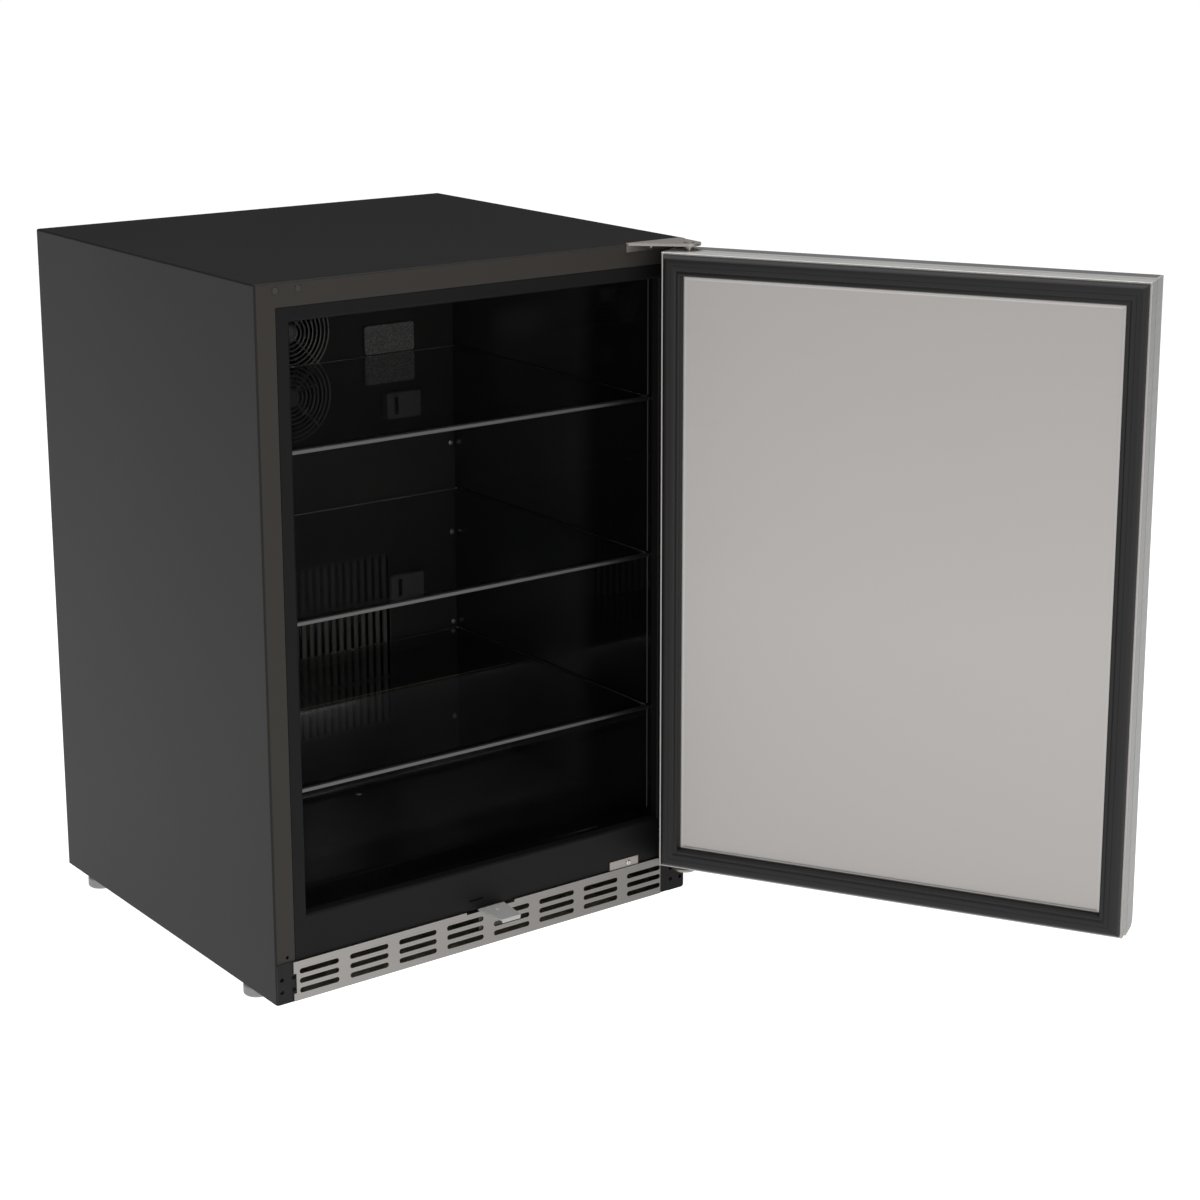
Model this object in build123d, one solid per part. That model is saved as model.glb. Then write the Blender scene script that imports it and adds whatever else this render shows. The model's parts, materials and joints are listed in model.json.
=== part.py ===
from build123d import *
import math
import os

# Under-counter refrigerator, 24 inch class, with its solid door standing open.
# Frame: X to the viewer's right, Y from the front to the back, Z up.
# The origin is on the floor, under the middle of the cabinet's footprint.
# The door is drawn shut and then turned about its hinge pins to DOOR_OPEN.

# ---- driving dimensions, in millimetres ----
CASE_W = 597.0
CASE_D = 550.0
CASE_H = 841.0
FOOT_H = 22.0
SHEET = 1.2
REAR_INSET = 4.0

RETURN_W = 25.5
RAIL_H = 28.2
OPENING_SIDE = 42.4
OPENING_BOTTOM = 102.7
OPENING_TOP = 795.7
SILL_BOTTOM = 49.9
FRAME_DEPTH = 14.0

LINER_WALL = 2.5
CAVITY_DEPTH = 455.0
LINER_DEPTH = 497.0
HUMP_DEPTH = 324.0
HUMP_TOP = 226.0

SHELF_Z = (643.0, 444.0, 245.0)
SHELF_FRONT = 17.0
GLASS_T = 4.0

DOOR_W = 586.0
DOOR_BOTTOM = 56.0
DOOR_TOP = 833.5
PAN_T = 24.0
SKIN_T = 35.0
DOOR_GAP = 12.0
SEAM = 1.0
GASKET_W = 24.5
GASKET_H = 9.7
SEAL_W = 18.5
GASKET_HINGE_INSET = 3.5
GASKET_FREE_INSET = 2.8
GASKET_TOP_INSET = 2.1
GASKET_BOTTOM_INSET = 2.6
DOOR_OPEN = 120.0
PIN_FROM_EDGE = 24.1
PIN_FROM_CASE = 41.0
PIN_R = 4.0
RUNNING_FIT = 0.05

HANDLE_R = 11.0
HANDLE_STANDOFF = 45.0
HANDLE_FROM_EDGE = 20.5
HANDLE_BOTTOM = 93.0
HANDLE_TOP = 780.0

# ---- places worked out from them ----
FRONT = -CASE_D / 2
BACK = CASE_D / 2
LEFT = -CASE_W / 2
RIGHT = CASE_W / 2
BASE = FOOT_H
TOP = FOOT_H + CASE_H
CAVITY_W = CASE_W - 2 * OPENING_SIDE
HUMP_Y = FRONT + HUMP_DEPTH
HUMP_Z = BASE + HUMP_TOP
COVER_Y = FRONT + CAVITY_DEPTH
FLOOR_Z = BASE + OPENING_BOTTOM
CEILING_Z = BASE + OPENING_TOP
DOOR_RIGHT = RIGHT - (CASE_W - DOOR_W) / 2
DOOR_LEFT = DOOR_RIGHT - DOOR_W
DOOR_INNER_Y = FRONT - DOOR_GAP
DOOR_OUTER_Y = DOOR_INNER_Y - PAN_T - SEAM - SKIN_T
PIN_X = DOOR_RIGHT - PIN_FROM_EDGE
PIN_Y = FRONT - PIN_FROM_CASE
PAN_BOTTOM_Z = BASE + DOOR_BOTTOM
SKIN_BOTTOM_Z = PAN_BOTTOM_Z - 6.0
DOOR_TOP_Z = BASE + DOOR_TOP

# ---- cold-air circuit, lamp and thermostat ----
FAN_Z = BASE + 690.0
FAN_MOUTH_R = 51.0
LOUVRE_ROWS = ((240.0, 301.0), (305.0, 366.0))
LOUVRE_COUNT = 26
LOUVRE_PITCH = 11.5
LOUVRE_W = 5.0
LAMP_X = 151.5
LAMP_Z = BASE + 668.0
LENS_W = 77.0
LENS_H = 38.5
LENS_WALL = 3.0
DIAL_X = 168.0
DIAL_Z = BASE + 573.5
DIAL_W = 53.0
DIAL_H = 36.0
DIAL_WALL = 2.0
LEDGE_W = 5.0
FAN_SHAFT_R = 2.0
EVAP_FAN_Y = COVER_Y + 3.0
EVAP_FAN_DEPTH = 24.0
EVAP_FAN_SIZE = 114.0
EVAP_ROTOR_R = 50.0
WHEEL_R = 11.5
WHEEL_X = DIAL_X - 12.0
WHEEL_Y = COVER_Y - 1.5

# ---- plinth and feet ----
KICK_Y = FRONT - 2.6
KICK_T = 1.2
KICK_TOP = 49.4
KICK_LEFT = LEFT + 21.3
KICK_RIGHT = RIGHT - 39.0
SLOT_COLUMNS = 8
SLOT_ROWS = (12.7, 24.6, 36.4)
SLOT_PITCH = 67.9
SLOT_LEN = 52.8
SLOT_H = 6.4
SLOT_SHIFT = -5.4
TAB_W = 38.0
TONGUE_TOP = 49.0
TONGUE_T = 2.0
SIDE_HOLE_X = 15.0
SIDE_HOLE_Z = 56.3
SIDE_HOLE_R = 2.1
BOLT_HOLE_R = 2.6
BOLT_FROM_SIDE = (6.1, 21.6)
BOLT_HEIGHTS = (15.5, 30.6)
FOOT_STEM_R = 5.0
FOOT_PAD_R = 17.0

# ---- hinges and bushes ----
HINGE_T = 3.0
UPPER_NOSE_R = 15.0
LOWER_NOSE_R = 14.0
HINGE_FLANGE_T = 2.6
HINGE_SCREW_X = (LEFT + 543.0, LEFT + 571.6)
SCREW_FACE_Y = FRONT - 1.0
EAR_Y = FRONT - 1.2
FLANGE_LEFT = LEFT + 503.0
FLANGE_DROP = 9.2
HINGE_RIGHT = RIGHT - 12.0
UPPER_PLATE_Z = TOP - 1.2
LOWER_PLATE_Z = BASE + 44.5
BUSH_R = 7.0
BUSH_LEN = 22.0

# ---- machine bay ----
COND_FAN_Y = BACK - 62.0
COND_FAN_Z = BASE + 92.0
COMP_X = -150.0
COMP_Y = BACK - 98.0
COND_FAN_X = 161.0

parts = {}


def box(x0, x1, y0, y1, z0, z1):
    """A block between two opposite corners."""
    size = Box(x1 - x0, y1 - y0, z1 - z0)
    return Pos((x0 + x1) / 2, (y0 + y1) / 2, (z0 + z1) / 2) * size


def rod(radius, start, end):
    """A round bar from one point to another."""
    path = Vector(*end) - Vector(*start)
    plane = Plane(origin=start, z_dir=path)
    bar = Cylinder(radius, path.length, align=(Align.CENTER, Align.CENTER, Align.MIN))
    return plane * bar


def slot_cutter(x0, x1, z_mid, width, y0, y1):
    """A slot with round ends that runs along X and goes through in Y."""
    radius = width / 2
    middle = box(x0 + radius, x1 - radius, y0, y1, z_mid - radius, z_mid + radius)
    first = rod(radius, (x0 + radius, y0, z_mid), (x0 + radius, y1, z_mid))
    last = rod(radius, (x1 - radius, y0, z_mid), (x1 - radius, y1, z_mid))
    return middle + first + last


def upright_slot(x_mid, width, z0, z1, y0, y1):
    """A slot with round ends that stands upright and goes through in Y."""
    radius = width / 2
    middle = box(x_mid - radius, x_mid + radius, y0, y1, z0 + radius, z1 - radius)
    low = rod(radius, (x_mid, y0, z0 + radius), (x_mid, y1, z0 + radius))
    high = rod(radius, (x_mid, y0, z1 - radius), (x_mid, y1, z1 - radius))
    return middle + low + high


def edges_along(shape, axis, test):
    """The edges of a shape that lie along an axis and whose middle passes a test."""
    return [edge for edge in shape.edges().filter_by(axis) if test(edge.center())]


# ---- cabinet shell ----

def outer_case():
    """Painted steel wrapper: two sides and the top in one sheet, with front returns."""
    shell = box(LEFT, RIGHT, FRONT, BACK, BASE, TOP)
    upright = edges_along(shell, Axis.Z, lambda c: c.Y < 0)
    shell = fillet(upright, 3.5)
    crown = edges_along(shell, Axis.Y, lambda c: c.Z > TOP - 1)
    shell = fillet(crown, 2.5)
    inside = box(LEFT + SHEET, RIGHT - SHEET, FRONT + SHEET, BACK + 1, BASE - 1, TOP - SHEET)
    inside = fillet(edges_along(inside, Axis.Z, lambda c: c.Y < 0), 2.3)
    mouth = box(LEFT + RETURN_W, RIGHT - RETURN_W, FRONT - 1, FRONT + 5, BASE - 1, TOP - RAIL_H)
    shell = shell - inside - mouth
    lip = []
    for edge in shell.edges():
        place = edge.center()
        at_side = abs(abs(place.X) - (RIGHT - RETURN_W)) < 0.1
        at_rail = abs(place.Z - (TOP - RAIL_H)) < 0.1 and abs(place.X) < 1
        if abs(place.Y - FRONT) < 0.01 and (at_side or at_rail):
            lip.append(edge)
    shell = fillet(lip, 0.9)
    for side in (-1, 1):
        x = side * (RIGHT - SIDE_HOLE_X)
        shell -= rod(SIDE_HOLE_R, (x, FRONT - 1, BASE + SIDE_HOLE_Z), (x, FRONT + 2, BASE + SIDE_HOLE_Z))
        for x, z in corner_bolt_places(side):
            shell -= rod(BOLT_HOLE_R, (x, FRONT - 1, z), (x, FRONT + 2, z))
    return shell


def rear_panel():
    """Flat steel back behind the insulation."""
    x = RIGHT - SHEET - 0.2
    y1 = BACK - REAR_INSET
    panel = box(-x, x, y1 - SHEET, y1, HUMP_Z - 8.0, TOP - SHEET - 0.2)
    for rib_x in (-150.0, 0.0, 150.0):
        rib = box(rib_x - 30, rib_x + 30, y1 - 0.5, y1 + 0.9, HUMP_Z + 50.0, TOP - 70.0)
        panel += chamfer(rib.faces().sort_by(Axis.Y)[-1].edges(), 0.8)
    return panel


def rear_cover():
    """Vented plate over the machine bay."""
    x = RIGHT - SHEET - 0.2
    y1 = BACK - REAR_INSET
    plate = box(-x, x, y1 - SHEET, y1, BASE + 20.0, HUMP_Z - 8.5)
    for row in range(7):
        z = BASE + 62.0 + row * 18.0
        for column in range(5):
            x_start = -245.0 + column * 100.0
            plate -= slot_cutter(x_start, x_start + 80.0, z, 6.0, BACK - 5, BACK + 5)
    return plate


def rear_screws():
    """Hexagon-head screws round the rear panel and the machine cover."""
    heads = []
    side_x = RIGHT - 9.0
    rows = [HUMP_Z + 2.0, HUMP_Z + 200.0, HUMP_Z + 400.0, TOP - 12.0, BASE + 32.0, HUMP_Z - 20.0]
    places = [(x, z) for x in (-side_x, side_x) for z in rows]
    places += [(x, z) for x in (-130.0, 130.0) for z in (TOP - 12.0, BASE + 32.0, HUMP_Z - 20.0)]
    for x, z in places:
        head = extrude(RegularPolygon(4.2, 6), 2.2)
        heads.append(Pos(x, BACK - REAR_INSET, z) * Rot(-90, 0, 0) * head)
    return Compound(heads)


def base_pan():
    """Galvanised tray that ties the sides together and carries the feet."""
    x = RIGHT - SHEET - 0.2
    y1 = BACK - REAR_INSET
    tray = box(-x, x, FRONT + 6.0, y1, BASE, BASE + 2.0)
    tray += box(-x, 2.0 - x, FRONT + 6.0, y1, BASE, BASE + 16.0)
    tray += box(x - 2.0, x, FRONT + 6.0, y1, BASE, BASE + 16.0)
    tray += box(-x, x, y1 - 2.0, y1, BASE, BASE + 16.0)
    for px, py in foot_places():
        tray += rod(9.0, (px, py, BASE), (px, py, BASE + 14.0))
        tray -= rod(FOOT_STEM_R + RUNNING_FIT, (px, py, BASE - 1), (px, py, BASE + 15.0))
    return tray


def foam_insulation():
    """Foamed-in insulation between the wrapper and the liner."""
    x = RIGHT - SHEET
    y1 = BACK - REAR_INSET - SHEET
    body = box(-x, x, FRONT + FRAME_DEPTH, y1, BASE + 66.0, TOP - SHEET)
    wall = LINER_WALL
    chest = CAVITY_W / 2 + wall
    body -= box(-chest, chest, FRONT, FRONT + LINER_DEPTH + wall, FLOOR_Z - wall, CEILING_Z + wall)
    body += box(-chest, chest, HUMP_Y + wall, y1, HUMP_Z - 26.0, HUMP_Z - wall)
    body += box(-chest, chest, HUMP_Y + wall, HUMP_Y + wall + 24.0, BASE + 66.0, HUMP_Z - wall)
    bay = box(-x - 1, x + 1, HUMP_Y + wall + 24.0, BACK, BASE, HUMP_Z - 26.0)
    return body - bay


def front_frame():
    """Glossy black breaker frame around the opening, with the deep sill below."""
    x = RIGHT - RETURN_W - 0.15
    opening = CAVITY_W / 2
    ring = box(-x, x, FRONT, FRONT + FRAME_DEPTH, BASE + SILL_BOTTOM, TOP - RAIL_H - 0.15)
    mouth = box(-opening, opening, FRONT - 1, FRONT + FRAME_DEPTH + 1, FLOOR_Z, CEILING_Z)
    mouth = fillet(mouth.edges().filter_by(Axis.Y), 1.0)
    ring -= mouth
    lip = []
    for edge in ring.edges():
        place = edge.center()
        inside_x = abs(place.X) < opening + 0.5
        inside_z = FLOOR_Z - 0.5 < place.Z < CEILING_Z + 0.5
        if abs(place.Y - FRONT) < 0.01 and inside_x and inside_z:
            lip.append(edge)
    frame = fillet(lip, 3.0)
    return frame - slot_cutter(LEFT + 267.0, LEFT + 287.0, BASE + 62.0, 2.6, FRONT - 1, FRONT + 2)


def inner_liner():
    """Moulded black liner with the machine hump and the shelf ledges."""
    wall = LINER_WALL
    front = FRONT + FRAME_DEPTH
    back = FRONT + LINER_DEPTH

    def side_profile(grow):
        """Outline of the chest from the side, grown by the wall thickness."""
        outline = [
            (front, FLOOR_Z - grow),
            (HUMP_Y + grow, FLOOR_Z - grow),
            (HUMP_Y + grow, HUMP_Z - grow),
            (back + grow, HUMP_Z - grow),
            (back + grow, CEILING_Z + grow),
            (front, CEILING_Z + grow),
        ]
        face = make_face(Plane.YZ * Polyline(*outline, close=True))
        half = CAVITY_W / 2 + grow
        return extrude(face, half, both=True)

    chest = side_profile(0)
    crest = edges_along(chest, Axis.X, lambda c: abs(c.Y - HUMP_Y) < 1 and abs(c.Z - HUMP_Z) < 1)
    chest = fillet(crest, 9.0)
    toe = edges_along(chest, Axis.X, lambda c: abs(c.Y - HUMP_Y) < 1 and abs(c.Z - FLOOR_Z) < 1)
    chest = fillet(toe, 8.0)
    liner = side_profile(wall) - chest
    half = CAVITY_W / 2
    bead = box(-half - 1, half + 1, front + 8.0, front + 11.0, FLOOR_Z - 1, CEILING_Z + 1)
    gap = half - 0.8
    bead -= box(-gap, gap, front + 7.0, front + 12.0, FLOOR_Z + 0.8, CEILING_Z - 0.8)
    liner += bead
    for shelf_z in SHELF_Z:
        ledge_top = BASE + shelf_z + 0.4
        for side in (-1, 1):
            wall_x = side * CAVITY_W / 2
            ledge_x = sorted((wall_x - side * LEDGE_W, wall_x + side * 0.5))
            ledge_y = (front + 18.0, COVER_Y - 2.0)
            liner += box(*ledge_x, *ledge_y, ledge_top - 4.0, ledge_top)
    drain = rod(5.0, (0, HUMP_Y - 20.0, FLOOR_Z - 5), (0, HUMP_Y - 20.0, FLOOR_Z + 5))
    return liner - drain


def duct_cover():
    """Glossy black cover at the back of the cavity, with fan mouth and louvres."""
    half = CAVITY_W / 2 - 0.3
    bottom = HUMP_Z + 0.3
    top = CEILING_Z - 0.3
    panel = box(-half, half, COVER_Y, COVER_Y + 2.5, bottom, top)
    panel += box(-half, half, COVER_Y, COVER_Y + 14.0, bottom, bottom + 2.5)
    panel += box(-half, half, COVER_Y, COVER_Y + 14.0, top - 2.5, top)
    panel += box(-half, 2.5 - half, COVER_Y, COVER_Y + 14.0, bottom, top)
    panel += box(half - 2.5, half, COVER_Y, COVER_Y + 14.0, bottom, top)
    panel -= rod(FAN_MOUTH_R, (0, COVER_Y - 1, FAN_Z), (0, COVER_Y + 5, FAN_Z))
    for low, high in LOUVRE_ROWS:
        for index in range(LOUVRE_COUNT):
            x = (index - (LOUVRE_COUNT - 1) / 2) * LOUVRE_PITCH
            z0 = BASE + low
            z1 = BASE + high
            panel -= upright_slot(x, LOUVRE_W, z0, z1, COVER_Y - 1, COVER_Y + 4)
    for x, z in cover_screw_places():
        panel -= rod(1.6, (x, COVER_Y - 1, z), (x, COVER_Y + 4, z))
    lamp = box(LAMP_X - 30, LAMP_X + 30, COVER_Y - 1, COVER_Y + 4, LAMP_Z - 17, LAMP_Z + 17)
    dial = box(DIAL_X - 21, DIAL_X + 18, COVER_Y - 1, COVER_Y + 4, DIAL_Z - 14, DIAL_Z + 14)
    return panel - lamp - dial


# ---- cold-air circuit ----


def fan_guard():
    """Round wire-style guard over the fan mouth: rings carried on four struts."""
    y0 = COVER_Y - 4.6
    y1 = COVER_Y - 2.6
    guard = rod(11.0, (0, y0, FAN_Z), (0, y1, FAN_Z))
    for index in range(5):
        radius = 21.0 + 9.5 * index
        ring = rod(radius + 1.2, (0, y0, FAN_Z), (0, y1, FAN_Z))
        ring -= rod(radius - 1.2, (0, y0 - 1, FAN_Z), (0, y1 + 1, FAN_Z))
        guard += ring
    for index in range(4):
        strut = box(9.0, 59.0, y1 - 0.6, y1 + 1.2, -1.6, 1.6)
        strut += box(53.5, 61.0, y1 - 0.6, COVER_Y, -3.0, 3.0)
        guard += Pos(0, 0, FAN_Z) * Rot(0, 45 + 90 * index, 0) * strut
    return guard


def cover_screw_places():
    """Where the back cover is screwed down its two edges."""
    return [(x, BASE + z) for x in (-249.5, 249.5) for z in (256.0, 381.0, 511.0)]


def cover_screws():
    """Bright dome-head screws down both edges of the back cover."""
    return Compound([screw(x, z, COVER_Y, 3.2, 2.4) for x, z in cover_screw_places()])


def fan_frame(centre_y, centre_z, size, mouth_r, depth):
    """Square axial-fan frame with a motor can on three spokes."""
    half = size / 2
    frame = box(-half, half, centre_y, centre_y + depth, centre_z - half, centre_z + half)
    frame -= rod(mouth_r, (0, centre_y - 1, centre_z), (0, centre_y + depth + 1, centre_z))
    back = centre_y + depth
    frame += rod(17.0, (0, back - 7.0, centre_z), (0, back, centre_z))
    frame += rod(FAN_SHAFT_R, (0, back - 14.0, centre_z), (0, back - 6.0, centre_z))
    for index in range(3):
        angle = math.radians(90 + 120 * index)
        x = (mouth_r + 2.0) * math.cos(angle)
        z = centre_z + (mouth_r + 2.0) * math.sin(angle)
        frame += rod(2.5, (0, back - 3.0, centre_z), (x, back - 3.0, z))
    return frame


def fan_blades(centre_y, centre_z, tip_r, depth):
    """Hub and seven pitched blades that turn on the fan shaft."""
    front = centre_y + 2.0
    back = centre_y + depth - 7.6
    hub_r = 16.0
    rotor = rod(hub_r, (0, front, centre_z), (0, back, centre_z))
    blade_len = tip_r - hub_r + 3.0
    for index in range(7):
        blade = Box(1.6, depth - 13.0, blade_len)
        blade = Pos(0, 0, hub_r - 3.0 + blade_len / 2) * Rot(0, 0, 38) * blade
        blade = Rot(0, index * 360 / 7, 0) * blade
        rotor += Pos(0, (front + back) / 2, centre_z) * blade
    sweep = rod(tip_r, (0, front - 5, centre_z), (0, back + 5, centre_z))
    rotor = rotor & sweep
    bore = FAN_SHAFT_R + RUNNING_FIT
    return rotor - rod(bore, (0, back - 8.0, centre_z), (0, back + 1, centre_z))


def evaporator_coil():
    """Finned evaporator behind the louvres: three tube rows through flat fins."""
    y0 = COVER_Y + 15.0
    y1 = FRONT + LINER_DEPTH - 2.0
    z0 = BASE + 390.0
    z1 = BASE + 560.0
    coil = None
    fin_count = 23
    for index in range(fin_count):
        x = (index - (fin_count - 1) / 2) * 17.0
        fin = box(x - 0.5, x + 0.5, y0, y1, z0, z1)
        coil = fin if coil is None else coil + fin
    mid_y = (y0 + y1) / 2
    for row in range(5):
        z = z0 + 20.0 + row * 32.5
        coil += rod(4.0, (-200.0, mid_y, z), (200.0, mid_y, z))
    for row in range(4):
        z = z0 + 20.0 + row * 32.5
        side = 200.0 if row % 2 == 0 else -200.0
        coil += rod(4.0, (side, mid_y, z - 4.0), (side, mid_y, z + 36.5))
    return coil


def lamp_housing():
    """Lamp tray set into the back cover."""
    y = COVER_Y
    tray = box(LAMP_X - 28, LAMP_X + 28, y - 1.0, y + 13.0, LAMP_Z - 15, LAMP_Z + 15)
    return tray - box(LAMP_X - 26, LAMP_X + 26, y - 2.0, y + 11.0, LAMP_Z - 13, LAMP_Z + 13)


def lamp_board():
    """Strip of light-emitting diodes inside the lamp tray."""
    y = COVER_Y + 11.0
    board = box(LAMP_X - 25, LAMP_X + 25, y - 1.6, y, LAMP_Z - 6, LAMP_Z + 6)
    for index in range(4):
        x = LAMP_X - 18.0 + index * 12.0
        board += box(x - 2.5, x + 2.5, y - 3.2, y - 1.5, LAMP_Z - 2.5, LAMP_Z + 2.5)
    return board


def lamp_lens():
    """Frosted ribbed lens over the lamp."""
    y1 = COVER_Y - 1.1
    y0 = y1 - 4.0
    half_w = LENS_W / 2
    half_h = LENS_H / 2
    lens = box(LAMP_X - half_w, LAMP_X + half_w, y0, y1, LAMP_Z - half_h, LAMP_Z + half_h)
    rim = edges_along(lens, Axis.Y, lambda c: True)
    lens = fillet(rim, 4.0)
    half_w -= LENS_WALL
    half_h -= LENS_WALL
    hollow = box(
        LAMP_X - half_w, LAMP_X + half_w, y0 + 1.6, y1 + 1, LAMP_Z - half_h, LAMP_Z + half_h)
    return lens - hollow


def thermostat_housing():
    """Small bezelled box with an upright slit for the control wheel."""
    y0 = COVER_Y - 13.0
    y1 = COVER_Y - 0.1
    half_w = DIAL_W / 2
    half_h = DIAL_H / 2
    body = box(DIAL_X - half_w, DIAL_X + half_w, y0, y1, DIAL_Z - half_h, DIAL_Z + half_h)
    body = fillet(edges_along(body, Axis.Y, lambda c: True), 3.0)
    face = edges_along(body, Axis.X, lambda c: c.Y < y0 + 0.1)
    body = chamfer(face, 1.2)
    half_w -= DIAL_WALL
    half_h -= DIAL_WALL
    body -= box(
        DIAL_X - half_w, DIAL_X + half_w, y0 + DIAL_WALL, y1 + 1, DIAL_Z - half_h, DIAL_Z + half_h)
    slit = box(WHEEL_X - 3.2, WHEEL_X + 3.2, y0 - 1, y0 + 3, DIAL_Z - 12, DIAL_Z + 12)
    body -= slit
    for side in (-1, 1):
        cheek_x = sorted((WHEEL_X + side * 3.6, WHEEL_X + side * 5.6))
        cheek = box(*cheek_x, y0 + 1.5, y1, DIAL_Z - 6, DIAL_Z + 6)
        start = (cheek_x[0] - 1, WHEEL_Y, DIAL_Z)
        end = (cheek_x[1] + 1, WHEEL_Y, DIAL_Z)
        cheek -= rod(2.0 + RUNNING_FIT, start, end)
        body += cheek
    return body


def thermostat_wheel():
    """Knurled thumbwheel on a cross spindle, just proud of the slit."""
    wheel = rod(WHEEL_R, (WHEEL_X - 2.5, WHEEL_Y, DIAL_Z), (WHEEL_X + 2.5, WHEEL_Y, DIAL_Z))
    for index in range(24):
        angle = math.radians(index * 15)
        y = WHEEL_Y + WHEEL_R * math.cos(angle)
        z = DIAL_Z + WHEEL_R * math.sin(angle)
        wheel -= rod(0.7, (WHEEL_X - 3, y, z), (WHEEL_X + 3, y, z))
    return wheel + rod(2.0, (WHEEL_X - 5.5, WHEEL_Y, DIAL_Z), (WHEEL_X + 5.5, WHEEL_Y, DIAL_Z))


# ---- shelves ----

def shelf_glass(shelf_z):
    """Toughened glass shelf that rests on the liner's ledges."""
    half = CAVITY_W / 2 - 2.0
    z0 = BASE + shelf_z + 0.5
    pane = box(-half, half, FRONT + SHELF_FRONT + 2.2, COVER_Y - 7.0, z0, z0 + GLASS_T)
    return fillet(pane.edges().filter_by(Axis.Z), 3.0)


def shelf_trim(shelf_z):
    """Bright front rail clipped under and before the glass edge."""
    half = CAVITY_W / 2 - 1.5
    y0 = FRONT + SHELF_FRONT
    z = BASE + shelf_z
    rail = box(-half, half, y0, y0 + 2.0, z - 0.9, z + 3.8)
    rail += box(-half + 4.5, half - 4.5, y0, y0 + 14.0, z - 0.9, z + 0.4)
    return fillet(edges_along(rail, Axis.X, lambda c: c.Y < y0 + 0.1), 0.8)


# ---- plinth ----


def kick_plate():
    """Brushed steel toe grille: eight groups of three slots."""
    y1 = KICK_Y + KICK_T
    plate = box(KICK_LEFT, KICK_RIGHT, KICK_Y, y1, BASE + 1.0, BASE + KICK_TOP)
    plate += box(KICK_LEFT + 8.0, KICK_RIGHT, KICK_Y, KICK_Y + 3.0, BASE + 1.0, BASE + 2.2)
    for column in range(SLOT_COLUMNS):
        x0 = (column - (SLOT_COLUMNS - 1) / 2) * SLOT_PITCH - SLOT_LEN / 2 + SLOT_SHIFT
        for z in SLOT_ROWS:
            plate -= slot_cutter(x0, x0 + SLOT_LEN, BASE + z, SLOT_H, KICK_Y - 1, y1 + 1)
    plate -= box(-37.0, 33.0, KICK_Y - 1, y1 + 1, BASE + KICK_TOP - 3.0, BASE + 60.0)
    plate -= box(KICK_LEFT - 1, KICK_LEFT + 3.5, KICK_Y - 1, KICK_Y + 5, BASE + 10.5, BASE + 35.0)
    return plate


def corner_bolt_places(side):
    """Centres of the four bolt holes in a front corner."""
    return [(side * (RIGHT - x), BASE + z) for x in BOLT_FROM_SIDE for z in BOLT_HEIGHTS]


def corner_plate(side):
    """Black foot-corner plate with its square of bolt holes."""
    inner = 28.5 if side < 0 else 38.5
    plate_top = 50.4 if side < 0 else 42.0
    x = sorted((side * (RIGHT - 0.5), side * (RIGHT - inner)))
    plate = box(*x, FRONT - 1.2, FRONT, BASE + 1.0, BASE + plate_top)
    plate = fillet(edges_along(plate, Axis.Y, lambda c: abs(c.X) > RIGHT - 5), 3.0)
    for x, z in corner_bolt_places(side):
        plate -= rod(BOLT_HOLE_R, (x, FRONT - 5, z), (x, FRONT + 1, z))
    return plate


def lock_strike():
    """Tapered steel tongue under the door's edge, pierced for a lock bolt."""
    z1 = BASE + TONGUE_TOP
    z0 = z1 - TONGUE_T
    back = FRONT - 0.1
    outline = [(-TAB_W / 2, back), (TAB_W / 2, back), (14.0, FRONT - 44.0), (-14.0, FRONT - 44.0)]
    face = make_face(Plane.XY.offset(z0) * Polyline(*outline, close=True))
    tongue = extrude(face, TONGUE_T)
    tongue = fillet(edges_along(tongue, Axis.Z, lambda c: c.Y < FRONT - 40), 2.0)
    tongue += box(-TAB_W / 2, TAB_W / 2, FRONT - 1.2, back, BASE + 22.0, z1)
    tongue += box(-13.0, 13.0, FRONT - 44.0, FRONT - 42.0, z0 - 3.0, z0 + 0.5)
    return tongue - rod(2.2, (0, FRONT - 15.0, z0 - 5), (0, FRONT - 15.0, z1 + 5))


# ---- hinges ----


def hinge_arm(z0, left, nose_r):
    """Flat hinge arm that narrows from the cabinet front to a round nose at the pin."""
    back = FRONT - 0.1
    root = Line((left, back), (HINGE_RIGHT, back))
    nose = Pos(PIN_X, PIN_Y) * Edge.make_circle(nose_r)
    outline = make_hull([root, nose])
    return Pos(0, 0, z0) * extrude(outline, HINGE_T)


def upper_hinge():
    """Satin steel bracket over the door, with its flange on the top rail."""
    z0 = UPPER_PLATE_Z
    bracket = hinge_arm(z0, FLANGE_LEFT, UPPER_NOSE_R)
    flange_y = FRONT - HINGE_FLANGE_T
    flange = box(FLANGE_LEFT, HINGE_RIGHT, flange_y, FRONT - 0.1, TOP - FLANGE_DROP, z0 + HINGE_T)
    bracket += flange
    pocket_y = FRONT - HINGE_FLANGE_T - 1
    bracket -= box(LEFT + 526.0, LEFT + 582.0, pocket_y, SCREW_FACE_Y, TOP - 8.7, TOP - 2.3)
    for x in HINGE_SCREW_X:
        bracket -= rod(2.0, (x, FRONT - 5, TOP - 5.5), (x, FRONT + 1, TOP - 5.5))
    return bracket - rod(PIN_R, (PIN_X, PIN_Y, z0 - 1), (PIN_X, PIN_Y, z0 + HINGE_T + 1))


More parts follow.
